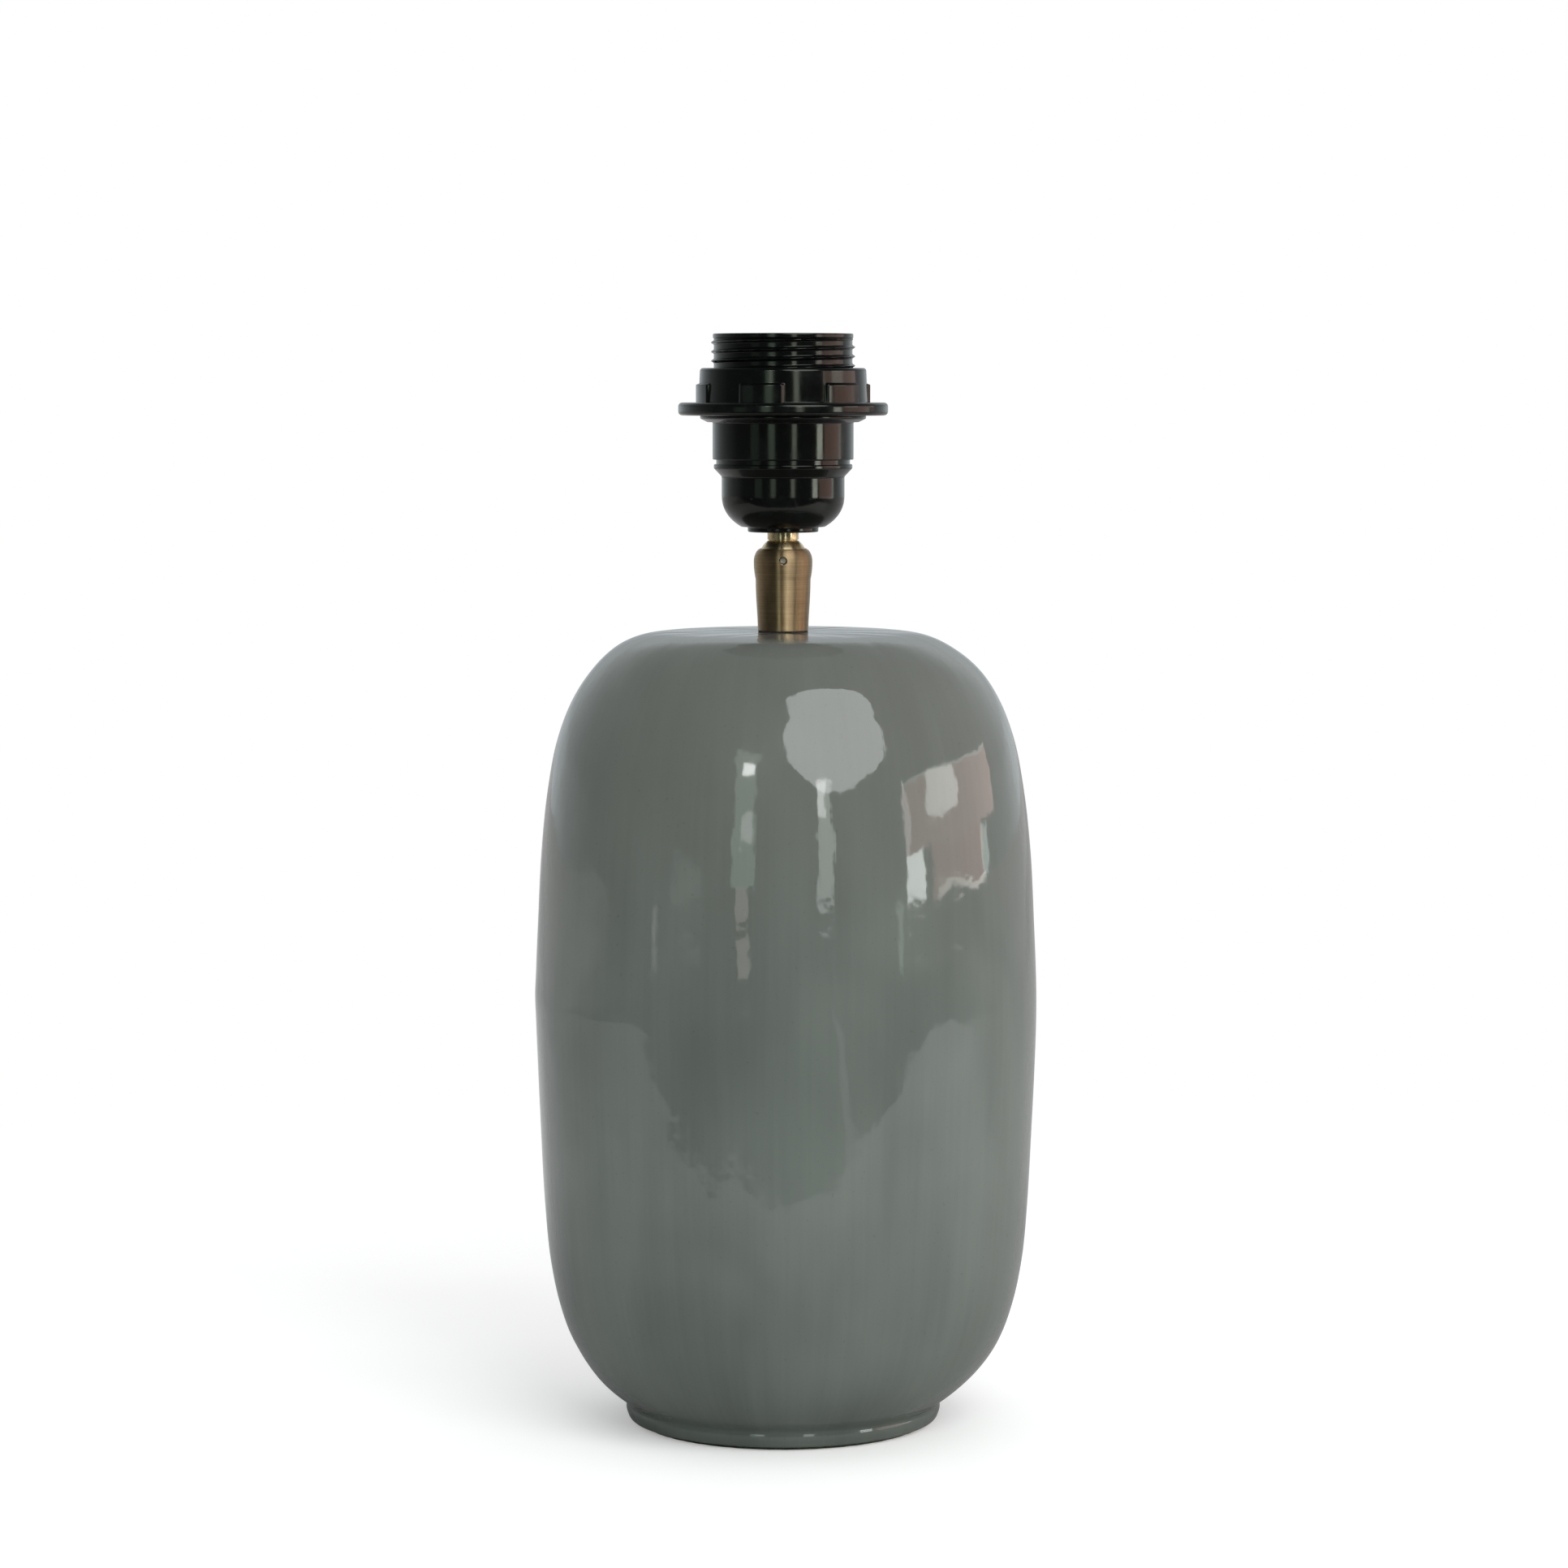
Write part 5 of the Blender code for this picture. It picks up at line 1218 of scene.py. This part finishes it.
@dataclass
class LampholderShell(SubAssembly):
    """The black outside of the lampholder: domed cap and threaded skirt."""

    collar: float = 9.8
    collar_height: float = 1.3
    dome: float = 17.0
    dome_rise: float = 11.3
    dome_centre: float = 10.2
    fullness: float = 2.2          # the dome's outline is a superellipse with this power
    flare: tuple[float, float] = (15.3, 17.6)
    lip: float = 19.17
    cap_height: float = 18.72
    cap_mouth: float = 15.8
    cap_wall: float = 1.8
    shelf: tuple[float, float] = (11.6, 12.8)
    shelf_reach: float = 13.4
    stem: float = 5.2
    boss: float = 6.8
    boss_height: float = 9.2
    spigot: float = 15.5
    spigot_length: float = 4.9
    spigot_bore: float = 14.3
    step: tuple[float, float] = (18.5, 1.2)
    housing: tuple[float, float] = (19.5, 10.3)
    shoulder_low: float = 20.9
    shoulder: float = 22.95
    root: float = 19.15
    crest: float = 19.9
    pitch: float = 2.54
    crest_at: float = 299.82       # height of a crest at angle 0
    thread_top: float = 302.2
    rim: float = 19.4
    bore: float = 15.4
    ledge: tuple[float, float, float] = (13.3, 269.4, 270.7)

    def cap(self) -> bpy.types.Object:
        """The cap: collar, dome, cylinder and flared lip outside; boss and shelf inside.

        The dome is the superellipse (r / radius)^n + (drop / rise)^n = 1.
        """
        turn, power = np.linspace(-1.45, 0.0, 60), 2.0 / self.fullness
        dome = np.stack([self.dome * np.cos(turn) ** power,
                         self.dome_centre - self.dome_rise * np.sin(-turn) ** power], axis=1)
        dome = flowing(dome, step=0.18)
        dome = dome[(dome[:, 0] > self.collar + 0.1) & (dome[:, 1] > self.collar_height + 0.1)]
        outer = rounded([
            (self.dome, self.dome_centre, 0.0), (self.dome, self.flare[0], 0.8),
            (self.lip, self.flare[1], 0.5), (self.lip, self.cap_height, 0.35),
            (self.cap_mouth, self.cap_height, 0.2),
            (self.cap_mouth, self.shelf[1], 0.2), (self.shelf_reach, self.shelf[1], 0.2),
            (self.shelf_reach, self.shelf[0], 0.2), (self.dome - self.cap_wall, self.shelf[0], 0.3),
            (self.dome - self.cap_wall, self.dome_centre, 0.0),
        ], 6)
        inner_wide, inner_rise = self.dome - self.cap_wall, self.dome_rise - self.cap_wall
        back = np.linspace(0.0, -math.acos(self.boss / inner_wide), 16)
        hollow = np.stack([inner_wide * np.cos(back), self.dome_centre + inner_rise * np.sin(back)], axis=1)
        boss = rounded([(self.boss, 3.0, 0.0), (self.boss, self.boss_height, 0.3),
                        (self.stem, self.boss_height, 0.2), (self.stem, 0.0, 0.25), (self.collar, 0.0, 0.45),
                        (self.collar, self.collar_height, 0.3),
                        (self.collar + 3.0, self.collar_height + 0.9, 0.0)], 5, drop=(1, 1))
        profile = np.vstack([dome, outer, hollow, boss])
        profile[:, 1] += CAP_Z
        return turned("holder_cap_moulded", profile, even_angles(192))

    def ridge(self, angle: np.ndarray, radius: np.ndarray, height: np.ndarray) -> np.ndarray:
        """The thread: a rounded triangle of the helix's phase, run out at both ends.

        Its height is (crest - root) times a triangle that peaks at half the pitch, with its tip
        and feet softened, and it fades over a quarter turn near the shoulder and the rim.
        """
        phase = helix_phase(angle, height, self.pitch, self.crest_at - self.pitch / 2)
        raised = ridge_of(phase, 0.27) * fade(height, SHOULDER_Z + 0.2, self.thread_top + 0.1, 0.8, 0.6)
        return (self.crest - self.root) * raised * (radius > self.root - 0.02) * (radius < self.rim + 0.3)

    def skirt(self) -> bpy.types.Object:
        """The skirt: spigot, step, housing, shoulder and threaded barrel, bored through."""
        floor, step_top = SKIRT_Z - self.spigot_length, SKIRT_Z + self.step[1]
        housing_top = step_top + self.housing[1]
        ledge, ledge_low, ledge_top = self.ledge
        barrel = np.linspace(SHOULDER_Z + 0.05, self.thread_top - 0.05, 190)
        lower = rounded([
            (self.bore, ledge_top, 0.2), (ledge, ledge_top, 0.2), (ledge, ledge_low, 0.2),
            (self.spigot_bore, ledge_low, 0.2), (self.spigot_bore, floor, 0.3), (self.spigot, floor, 0.3),
            (self.spigot, SKIRT_Z - 0.2, 0.0), (self.step[0], SKIRT_Z - 0.2, 0.1),
            (self.step[0], step_top, 0.1),
            (self.housing[0], step_top, 0.25), (self.housing[0], housing_top, 0.3),
            (self.shoulder_low, housing_top, 0.3), (self.shoulder, housing_top + 1.0, 0.5),
            (self.shoulder, SHOULDER_Z, 0.3), (self.root, SHOULDER_Z, 0.15),
            (self.root, SHOULDER_Z + 0.6, 0.0), (self.bore, SHOULDER_Z + 0.6, 0.0),
        ], 5, drop=(0, 2))
        thread = np.stack([np.full_like(barrel, self.root), barrel], axis=1)[4:]
        upper = rounded([(self.root, self.thread_top, 0.05), (self.rim, self.thread_top + 0.25, 0.1),
                         (self.rim, RIM_Z, 0.35), (self.bore + 0.05, RIM_Z, 0.4),
                         (self.bore, RIM_Z - 1.0, 0.0)], 6)
        profile = np.vstack([lower, thread, upper])
        return turned("holder_skirt_moulded", profile, even_angles(240), self.ridge, sharp=45.0)

    def build(self) -> None:
        """Makes the cap and the skirt, and eases the hidden locking screw."""
        self.keep(self.cap(), "holder_cap", Body.HEAD, PLASTIC)
        self.keep(self.skirt(), "holder_skirt", Body.HEAD, PLASTIC)
        self.ease("entry_lock_screw", "slotted", 0.12, Body.HEAD, ZINC)


@dataclass
class ShadeRing(SubAssembly):
    """The screwed ring with its flange and six raised grips."""

    low: float = 281.05
    bore: float = 20.2
    flange: float = 29.0
    flange_thickness: float = 3.55
    flange_edge: float = 1.1
    neck: float = 23.4
    top: float = 22.95
    height: float = 13.05
    grip: float = 24.1
    grip_top: float = 8.85
    grips: int = 6
    grip_side: float = 0.022       # half of a grip's sloping side, as a share of the grips' spacing
    grip_end: float = 0.45         # height over which a grip's top slopes in
    pitch: float = 2.54

    def columns(self) -> np.ndarray:
        """Even angles, with more of them beside the ends of each grip, where the wall steps."""
        ends = np.arange(2 * self.grips) * (math.pi / self.grips)
        near = (ends[:, None] + np.radians(np.linspace(-1.8, 1.8, 11))[None, :]).ravel()
        return np.unique(np.round(np.mod(np.r_[even_angles(180), near], TURN), 6))

    def relief(self, angle: np.ndarray, radius: np.ndarray, height: np.ndarray) -> np.ndarray:
        """Grips outside, thread in the bore.

        A grip stands out by a step in angle, from one multiple of 30 degrees to the next, times a
        step in height. The thread is a rounded triangle of the helix's phase, cut outwards.
        """
        share = np.mod(angle / (TURN / self.grips), 1.0)
        edge = self.grip_side
        across = smooth_step(-edge, edge, share) * smooth_step(0.5 + edge, 0.5 - edge, share)
        across = np.maximum(across, smooth_step(1.0 - edge, 1.0 + edge, share))
        top = self.low + self.grip_top
        up = smooth_step(top, top - self.grip_end, height)
        up = up * (height > self.low + self.flange_thickness - 0.05)
        outside = (radius > self.neck - 0.5) & (radius < self.grip)
        grip = (self.grip - radius) * across * up * outside
        phase = helix_phase(angle, height, self.pitch, self.low)
        cut = ridge_of(phase, 0.3) * fade(height, self.low + 0.6, self.low + self.height - 0.5, 0.7, 0.7)
        return grip + 0.6 * cut * (radius < self.bore + 0.02)

    def build(self) -> None:
        """One moulded piece: rounded flange, tapered barrel, grips and bore."""
        top = self.low + self.height
        flange_top = self.low + self.flange_thickness
        outer = rounded([
            (self.bore, self.low, 0.4), (self.flange, self.low, self.flange_edge),
            (self.flange, flange_top, self.flange_edge), (self.neck, flange_top, 0.25),
            (self.top, top, 0.9), (self.bore, top, 0.5),
        ], 7)
        profile = refined(outer, 0.16)
        self.keep(turned("shade_ring_moulded", profile, self.columns(), self.relief, sharp=45.0),
                  "shade_ring", Body.CLAMP, PLASTIC)


@dataclass
class LampholderInside(SubAssembly):
    """The core, screw shell, contacts and terminals inside the lampholder."""

    major: float = 13.3
    minor: float = 12.2
    pitch: float = 3.63
    sheet: float = 0.35
    shell: tuple[float, float] = (271.1, 295.4)

    def screw_shell(self) -> bpy.types.Object:
        """The rolled shell: both faces swing by a cosine of the helix's phase, with a plain rim."""
        low, high = self.shell
        inner = self.minor + (self.major - self.minor) / 2
        rows = np.linspace(low, high, 150)
        inside = np.stack([np.full_like(rows, inner), rows], axis=1)
        outside = np.stack([np.full_like(rows, inner + self.sheet), rows], axis=1)[::-1]

        def rolled(angle: np.ndarray, radius: np.ndarray, height: np.ndarray) -> np.ndarray:
            """The wave, which dies away at the two ends of the shell."""
            swing = (self.major - self.minor) / 2
            phase = helix_phase(angle, height, self.pitch, low)
            ends = fade(height, low, high, 1.2, 1.6)
            return -swing * np.cos(TURN * phase) * ends + swing * 0.6 * (1 - ends)

        profile = np.vstack([inside, outside])
        return turned("screw_shell_rolled", profile, even_angles(120), rolled, sharp=50.0)

    def build(self) -> None:
        """Rolls the shell and eases the rest, which keep their CAD shape."""
        self.keep(self.screw_shell(), "screw_shell", Body.HEAD, BRIGHT_BRASS)
        self.ease("insulator_core", "pressed", 0.25, Body.HEAD, PHENOLIC)
        for node in ("neutral_terminal", "live_terminal"):
            self.ease(node, "pressed", 0.12, Body.HEAD, BRIGHT_BRASS)
        for node in ("neutral_terminal_screw", "live_terminal_screw"):
            self.ease(node, "slotted", 0.1, Body.HEAD, ZINC)
        self.ease("contact_rivet", "headed", 0.1, Body.HEAD, BRIGHT_BRASS)
        self.ease("centre_contact", "bent", 0.14, Body.LEAF, BRONZE)


# Studio


class Outline(Enum):
    """The shapes that a light can have."""

    OBLONG = "RECTANGLE"
    OVAL = "ELLIPSE"


@dataclass(frozen=True)
class Panel:
    """A softbox or a bright opening, placed by the direction in which the lamp sees it.

    Azimuth 0 is in front of the lamp, 90 is to its right; sizes are the angles that it fills.
    """

    name: str
    azimuth: float
    elevation: float
    wide: float
    tall: float
    brightness: float
    colour: str = "#ffffff"
    outline: Outline = Outline.OBLONG
    distance: float = 2.4

    def build(self, target: Vector) -> None:
        """Adds the area light. Its power is brightness x pi x area of the oblong or oval.

        Args:
            target: the point it faces, in metres.
        """
        side, up = math.radians(self.azimuth), math.radians(self.elevation)
        way = Vector((math.sin(side) * math.cos(up), -math.cos(side) * math.cos(up), math.sin(up)))
        light = bpy.data.lights.new(self.name, "AREA")
        light.shape = self.outline.value
        light.size = 2 * self.distance * math.tan(math.radians(self.wide) / 2)
        light.size_y = 2 * self.distance * math.tan(math.radians(self.tall) / 2)
        fill = math.pi / 4 if self.outline is Outline.OVAL else 1.0
        light.energy = self.brightness * math.pi * light.size * light.size_y * fill
        light.color = linear(self.colour)[:3]
        lamp = placed(self.name, light)
        lamp.location = target + way * self.distance
        lamp.rotation_euler = way.to_track_quat("Z", "Y").to_euler()
        lamp.visible_camera = False


@dataclass(frozen=True)
class Studio:
    """A pale floor, a white surround, soft panels, and the camera at the photograph's angle."""

    lens: float = 107.70
    camera_place: tuple[float, float, float] = (0.00025, -1.300, 0.2904)
    camera_pitch: float = 85.095
    target: tuple[float, float, float] = (0.0, 0.0, 0.2)
    floor_colour: str = "#e6e6e4"
    floor_lift: float = 0.3        # added for the camera, so that the open floor reads as white
    ambient: tuple[float, float] = (0.0, 1.08)     # the even light, from below in front and above behind
    ambient_way: tuple[float, float, float] = (0.0, 0.45, 0.95)
    ambient_span: tuple[float, float] = (-0.25, 1.05)
    wall_levels: tuple[tuple[float, float], ...] = (   # 0 is straight in front, 1 straight behind
        (0.0, 0.05), (0.42, 0.09), (0.6, 0.22), (0.75, 0.36), (0.85, 0.5), (0.95, 0.61), (1.0, 0.4))
    rise_levels: tuple[tuple[float, float], ...] = (   # 0 is the horizon, 1 straight above
        (0.0, 0.75), (0.045, 0.7), (0.1, 0.56), (0.45, 0.62), (0.62, 0.35), (1.0, 0.3))
    floor_middle: float = 0.07     # X of the middle between the floor's two side edges
    floor_side: tuple[float, float] = (0.86, 0.88)
    floor_front: tuple[float, float] = (-0.308, -0.298)
    rings: int = 18
    columns: int = 64

    def panels(self) -> list[Panel]:
        """The lights: a barred window to the right, a round softbox high in front, and narrow gaps."""
        return [
            Panel("window_upper", 87.5, 7.7, 61, 11, 1.9, "#ffd4cc"),
            Panel("window_lower", 88, -0.6, 34, 5.6, 1.8, "#ffc8c0"),
            Panel("window_bar_low", 62, -0.35, 10, 4.9, 9.0, "#f8fffb"),
            Panel("window_bar_high", 80.5, 9.8, 19, 6.6, 4.2, "#f4fffb"),
            Panel("window_frame_left", 57.4, 7.7, 2.2, 11, 2.2, "#f4fff9"),
            Panel("window_frame_high", 87.5, 13.5, 61, 0.9, 2.0, "#f4fff9"),
            Panel("window_frame_low", 90, -2.9, 34, 1.1, 2.8, "#ecfff6"),
            Panel("window_frame_right", 106.5, -0.6, 5, 4.2, 2.4, "#ecfff6"),
            Panel("softbox_round", 27, 32.5, 47, 39, 4.5, "#fafeff", outline=Outline.OVAL),
            Panel("gap_left", -18.7, 13.7, 10.5, 28.6, 1.8, "#d6f4e4"),
            Panel("gap_left_high", -17.5, 21.2, 5.0, 5.4, 13.0),
            Panel("gap_left_low", -16.8, 7.4, 4.6, 5.0, 2.6),
            Panel("gap_left_faint", -18.8, -2.1, 4.6, 3.2, 1.8, "#fff4ec"),
            Panel("gap_right", 18.2, 7.2, 7.0, 19, 3.2, "#f4fff8"),
            Panel("gap_right_high", 17.2, 13.6, 4.4, 8, 5.2),
            Panel("far_opening", -47, -0.2, 14, 5.6, 0.5, "#d6f4e4"),
            Panel("speck_right", 52.5, -4.6, 3.0, 2.2, 1.6, "#e4fff2", distance=1.3),
            Panel("speck_left", -62.0, -4.6, 2.4, 2.2, 1.4, distance=1.3),
        ]

    def camera(self) -> None:
        """The camera, at the photograph's distance and pitch."""
        data = bpy.data.cameras.new("camera")
        data.lens, data.sensor_width = self.lens, 36.0
        data.clip_start, data.clip_end = 0.05, 50.0
        data.dof.use_dof = False
        camera = placed("camera", data)
        camera.location = self.camera_place
        camera.rotation_euler = (math.radians(self.camera_pitch), 0.0, 0.0)
        bpy.context.scene.camera = camera

    def world(self) -> None:
        """White to the camera; to gloss and to all else, dim in front and brighter behind.

        Gloss sees a level that is highest a little beside straight behind, times one that falls
        with height. To all else the light is even, and comes more from above.
        """
        world = bpy.data.worlds.new("studio_surround")
        paint = Painter(empty_tree(world), "Generated")
        rays, axes = paint.rays(), paint.axes()
        wall = paint.levels(paint.ramp(axes["Y"], -1.0, 1.0), self.wall_levels)
        rise = paint.levels(axes["Z"], self.rise_levels)
        lean = paint.vector("DOT_PRODUCT", paint.where, self.ambient_way)["Value"]
        even = paint.ramp(lean, *self.ambient_span, *self.ambient)
        plain, gloss, white = (
            add_node(paint.tree, "ShaderNodeBackground", {"Color": colour, "Strength": strength})
            for colour, strength in (
                (linear("#fbfcff"), even), (paint.vector("MULTIPLY", wall, rise)[0], 2.0),
                (linear("#ffffff"), 1.0))
        )
        mirrored = paint.maths("MAXIMUM", rays["Is Glossy Ray"], rays["Is Transmission Ray"])
        final = paint.either(rays["Is Camera Ray"], paint.either(mirrored, plain, gloss), white)
        add_node(paint.tree, "ShaderNodeOutputWorld", {"Surface": final.outputs[0]})
        bpy.context.scene.world = world

    def reflected_floor_shade(self, paint: Painter, reach: bpy.types.NodeSocket) -> bpy.types.NodeSocket:
        """Painted shade on the floor, seen only in reflections: darker towards the left, behind and near the
        lamp.

        Behind, it falls off sooner on the right.

        Args:
            paint: the floor's painter.
            reach: the distance from the lamp's foot, in metres.

        Returns:
            A factor on the floor's colour.
        """
        axes = paint.axes()
        across = paint.ramp(axes["X"], -0.6, 0.6, 0.8, 1.1)
        back = paint.ramp(axes["Y"], 0.0, 0.5, 0.0, 0.5)
        right = paint.maths("MULTIPLY", back, axes["X"])
        behind = paint.ramp(paint.sum((back, 1.0), (right, 6.5)), 0.0, 0.5, 1.0, 0.64)
        # painted shadow under and around the lamp, seen only in reflections
        under = paint.ramp(reach, 0.12, 0.4, 0.5, 1.0)
        return paint.maths("MULTIPLY", paint.maths("MULTIPLY", across, behind), under)

    def beyond(self, paint: Painter) -> tuple[bpy.types.NodeSocket, bpy.types.NodeSocket]:
        """What gloss sees past the floor's edges, where the floor glows for reflections only: a painted
        reflection of a dim room with one bright stripe.

        The floor ends 0.345 m in front of the lamp, 0.29 m where X is under -0.16 m, in an edge
        that wanders by a few centimetres. It ends 0.94 m to the right and 0.8 m to the left. The
        room brightens towards the back.

        Args:
            paint: the floor's painter.

        Returns:
            1 past an edge and 0 on the floor, and the room's brightness there.
        """
        axes = paint.axes()
        middle = paint.maths("SUBTRACT", axes["X"], self.floor_middle)
        front = paint.sum((axes["Y"], 1.0), (paint.grain(45.0, detail=2.0), 0.07),
                          (paint.ramp(axes["X"], -0.19, -0.13, -0.05, 0.008), 1.0))
        past_front = paint.ramp(front, *self.floor_front, 1.0, 0.0)
        past_side = paint.ramp(paint.maths("ABSOLUTE", middle), *self.floor_side)
        stripe = paint.maths("ABSOLUTE", paint.maths("MULTIPLY_ADD", axes["Y"], 0.344, middle))
        # a painted bright stripe, seen only in reflections
        bright = paint.ramp(stripe, 0.014, 0.022, 0.6, 0.07)
        aside = paint.ramp(axes["Y"], -0.4, 0.5, 0.07, 0.6)
        return paint.maths("MAXIMUM", past_front, past_side), paint.maths("MAXIMUM", bright, aside)

    def floor_finish(self) -> bpy.types.Material:
        """Pale paint that keeps the shadow, fades to white far out, and is clear from underneath."""
        made = bpy.data.materials.new("pale_studio_floor")
        paint = Painter(empty_tree(made))
        rays = paint.rays()
        camera, gloss = rays["Is Camera Ray"], rays["Is Glossy Ray"]
        reach = paint.vector("LENGTH", paint.where)["Value"]
        mottle = paint.ramp(paint.grain(60.0, detail=3.0), 0.3, 0.7, 0.97, 1.0)
        # the floor's colour: a faint random mottle to the eye, and painted shade in reflections
        keep = paint.blend(gloss, mottle, self.reflected_floor_shade(paint, reach))
        colour = {0: linear(self.floor_colour)[:3], "Scale": keep}
        shade = add_node(paint.tree, "ShaderNodeVectorMath", colour, operation="SCALE").outputs[0]
        matt = add_node(paint.tree, "ShaderNodeBsdfDiffuse", {"Color": shade}).outputs[0]
        lift = paint.glow(paint.maths("MULTIPLY", camera, self.floor_lift)).outputs[0]
        near = add_node(paint.tree, "ShaderNodeAddShader", {0: matt, 1: lift})
        far = paint.maths("MULTIPLY", camera, paint.ramp(reach, 0.22, 0.6))
        seen = paint.either(far, near, paint.glow(1.0))
        past, room = self.beyond(paint)
        # past its edges the floor glows for gloss only, as a painted reflection of a room
        upper = paint.either(paint.maths("MULTIPLY", past, gloss), seen, paint.glow(room))
        under = add_node(paint.tree, "ShaderNodeNewGeometry").outputs["Backfacing"]
        final = paint.either(under, upper, add_node(paint.tree, "ShaderNodeBsdfTransparent"))
        add_node(paint.tree, "ShaderNodeOutputMaterial", {"Surface": final.outputs[0]})
        return made

    def floor(self) -> None:
        """A flat disc, 12 m across, whose rings widen outwards."""
        angles = even_angles(self.columns)
        radii = np.geomspace(0.05, 6.0, self.rings)
        ring = np.stack([np.outer(radii, np.cos(angles)), np.outer(radii, np.sin(angles)),
                         np.zeros((self.rings, self.columns))], axis=-1).reshape(-1, 3)
        open_faces = grid_faces(self.rings, self.columns)[: (self.rings - 1) * self.columns]
        quads = np.roll(open_faces[:, ::-1], 1, axis=1)
        mesh = bpy.data.meshes.new("floor")
        mesh.from_pydata(ring.tolist(), [], quads.tolist() + [list(range(self.columns))])
        mesh.materials.append(self.floor_finish())
        floor = placed("floor", mesh)

    def build(self) -> None:
        """Sets up the view, floor, surround, lights and camera."""
        bpy.context.scene.view_settings.view_transform = "Standard"
        self.world()
        self.floor()
        for panel in self.panels():
            panel.build(Vector(self.target))
        self.camera()
        log.info("studio: %d panels", len(self.panels()))


def main() -> None:
    """Builds and dresses each sub-assembly, then the studio."""
    logging.basicConfig(level=logging.INFO, format="%(name)s: %(message)s")
    for group in (CeramicBase(), TopFixing(), BallSwivel(), BallStem(), LampholderShell(), ShadeRing(),
                  LampholderInside()):
        group.build()
        group.dress()
    Studio().build()
    bpy.context.view_layer.update()


if __name__ == "__main__":
    main()
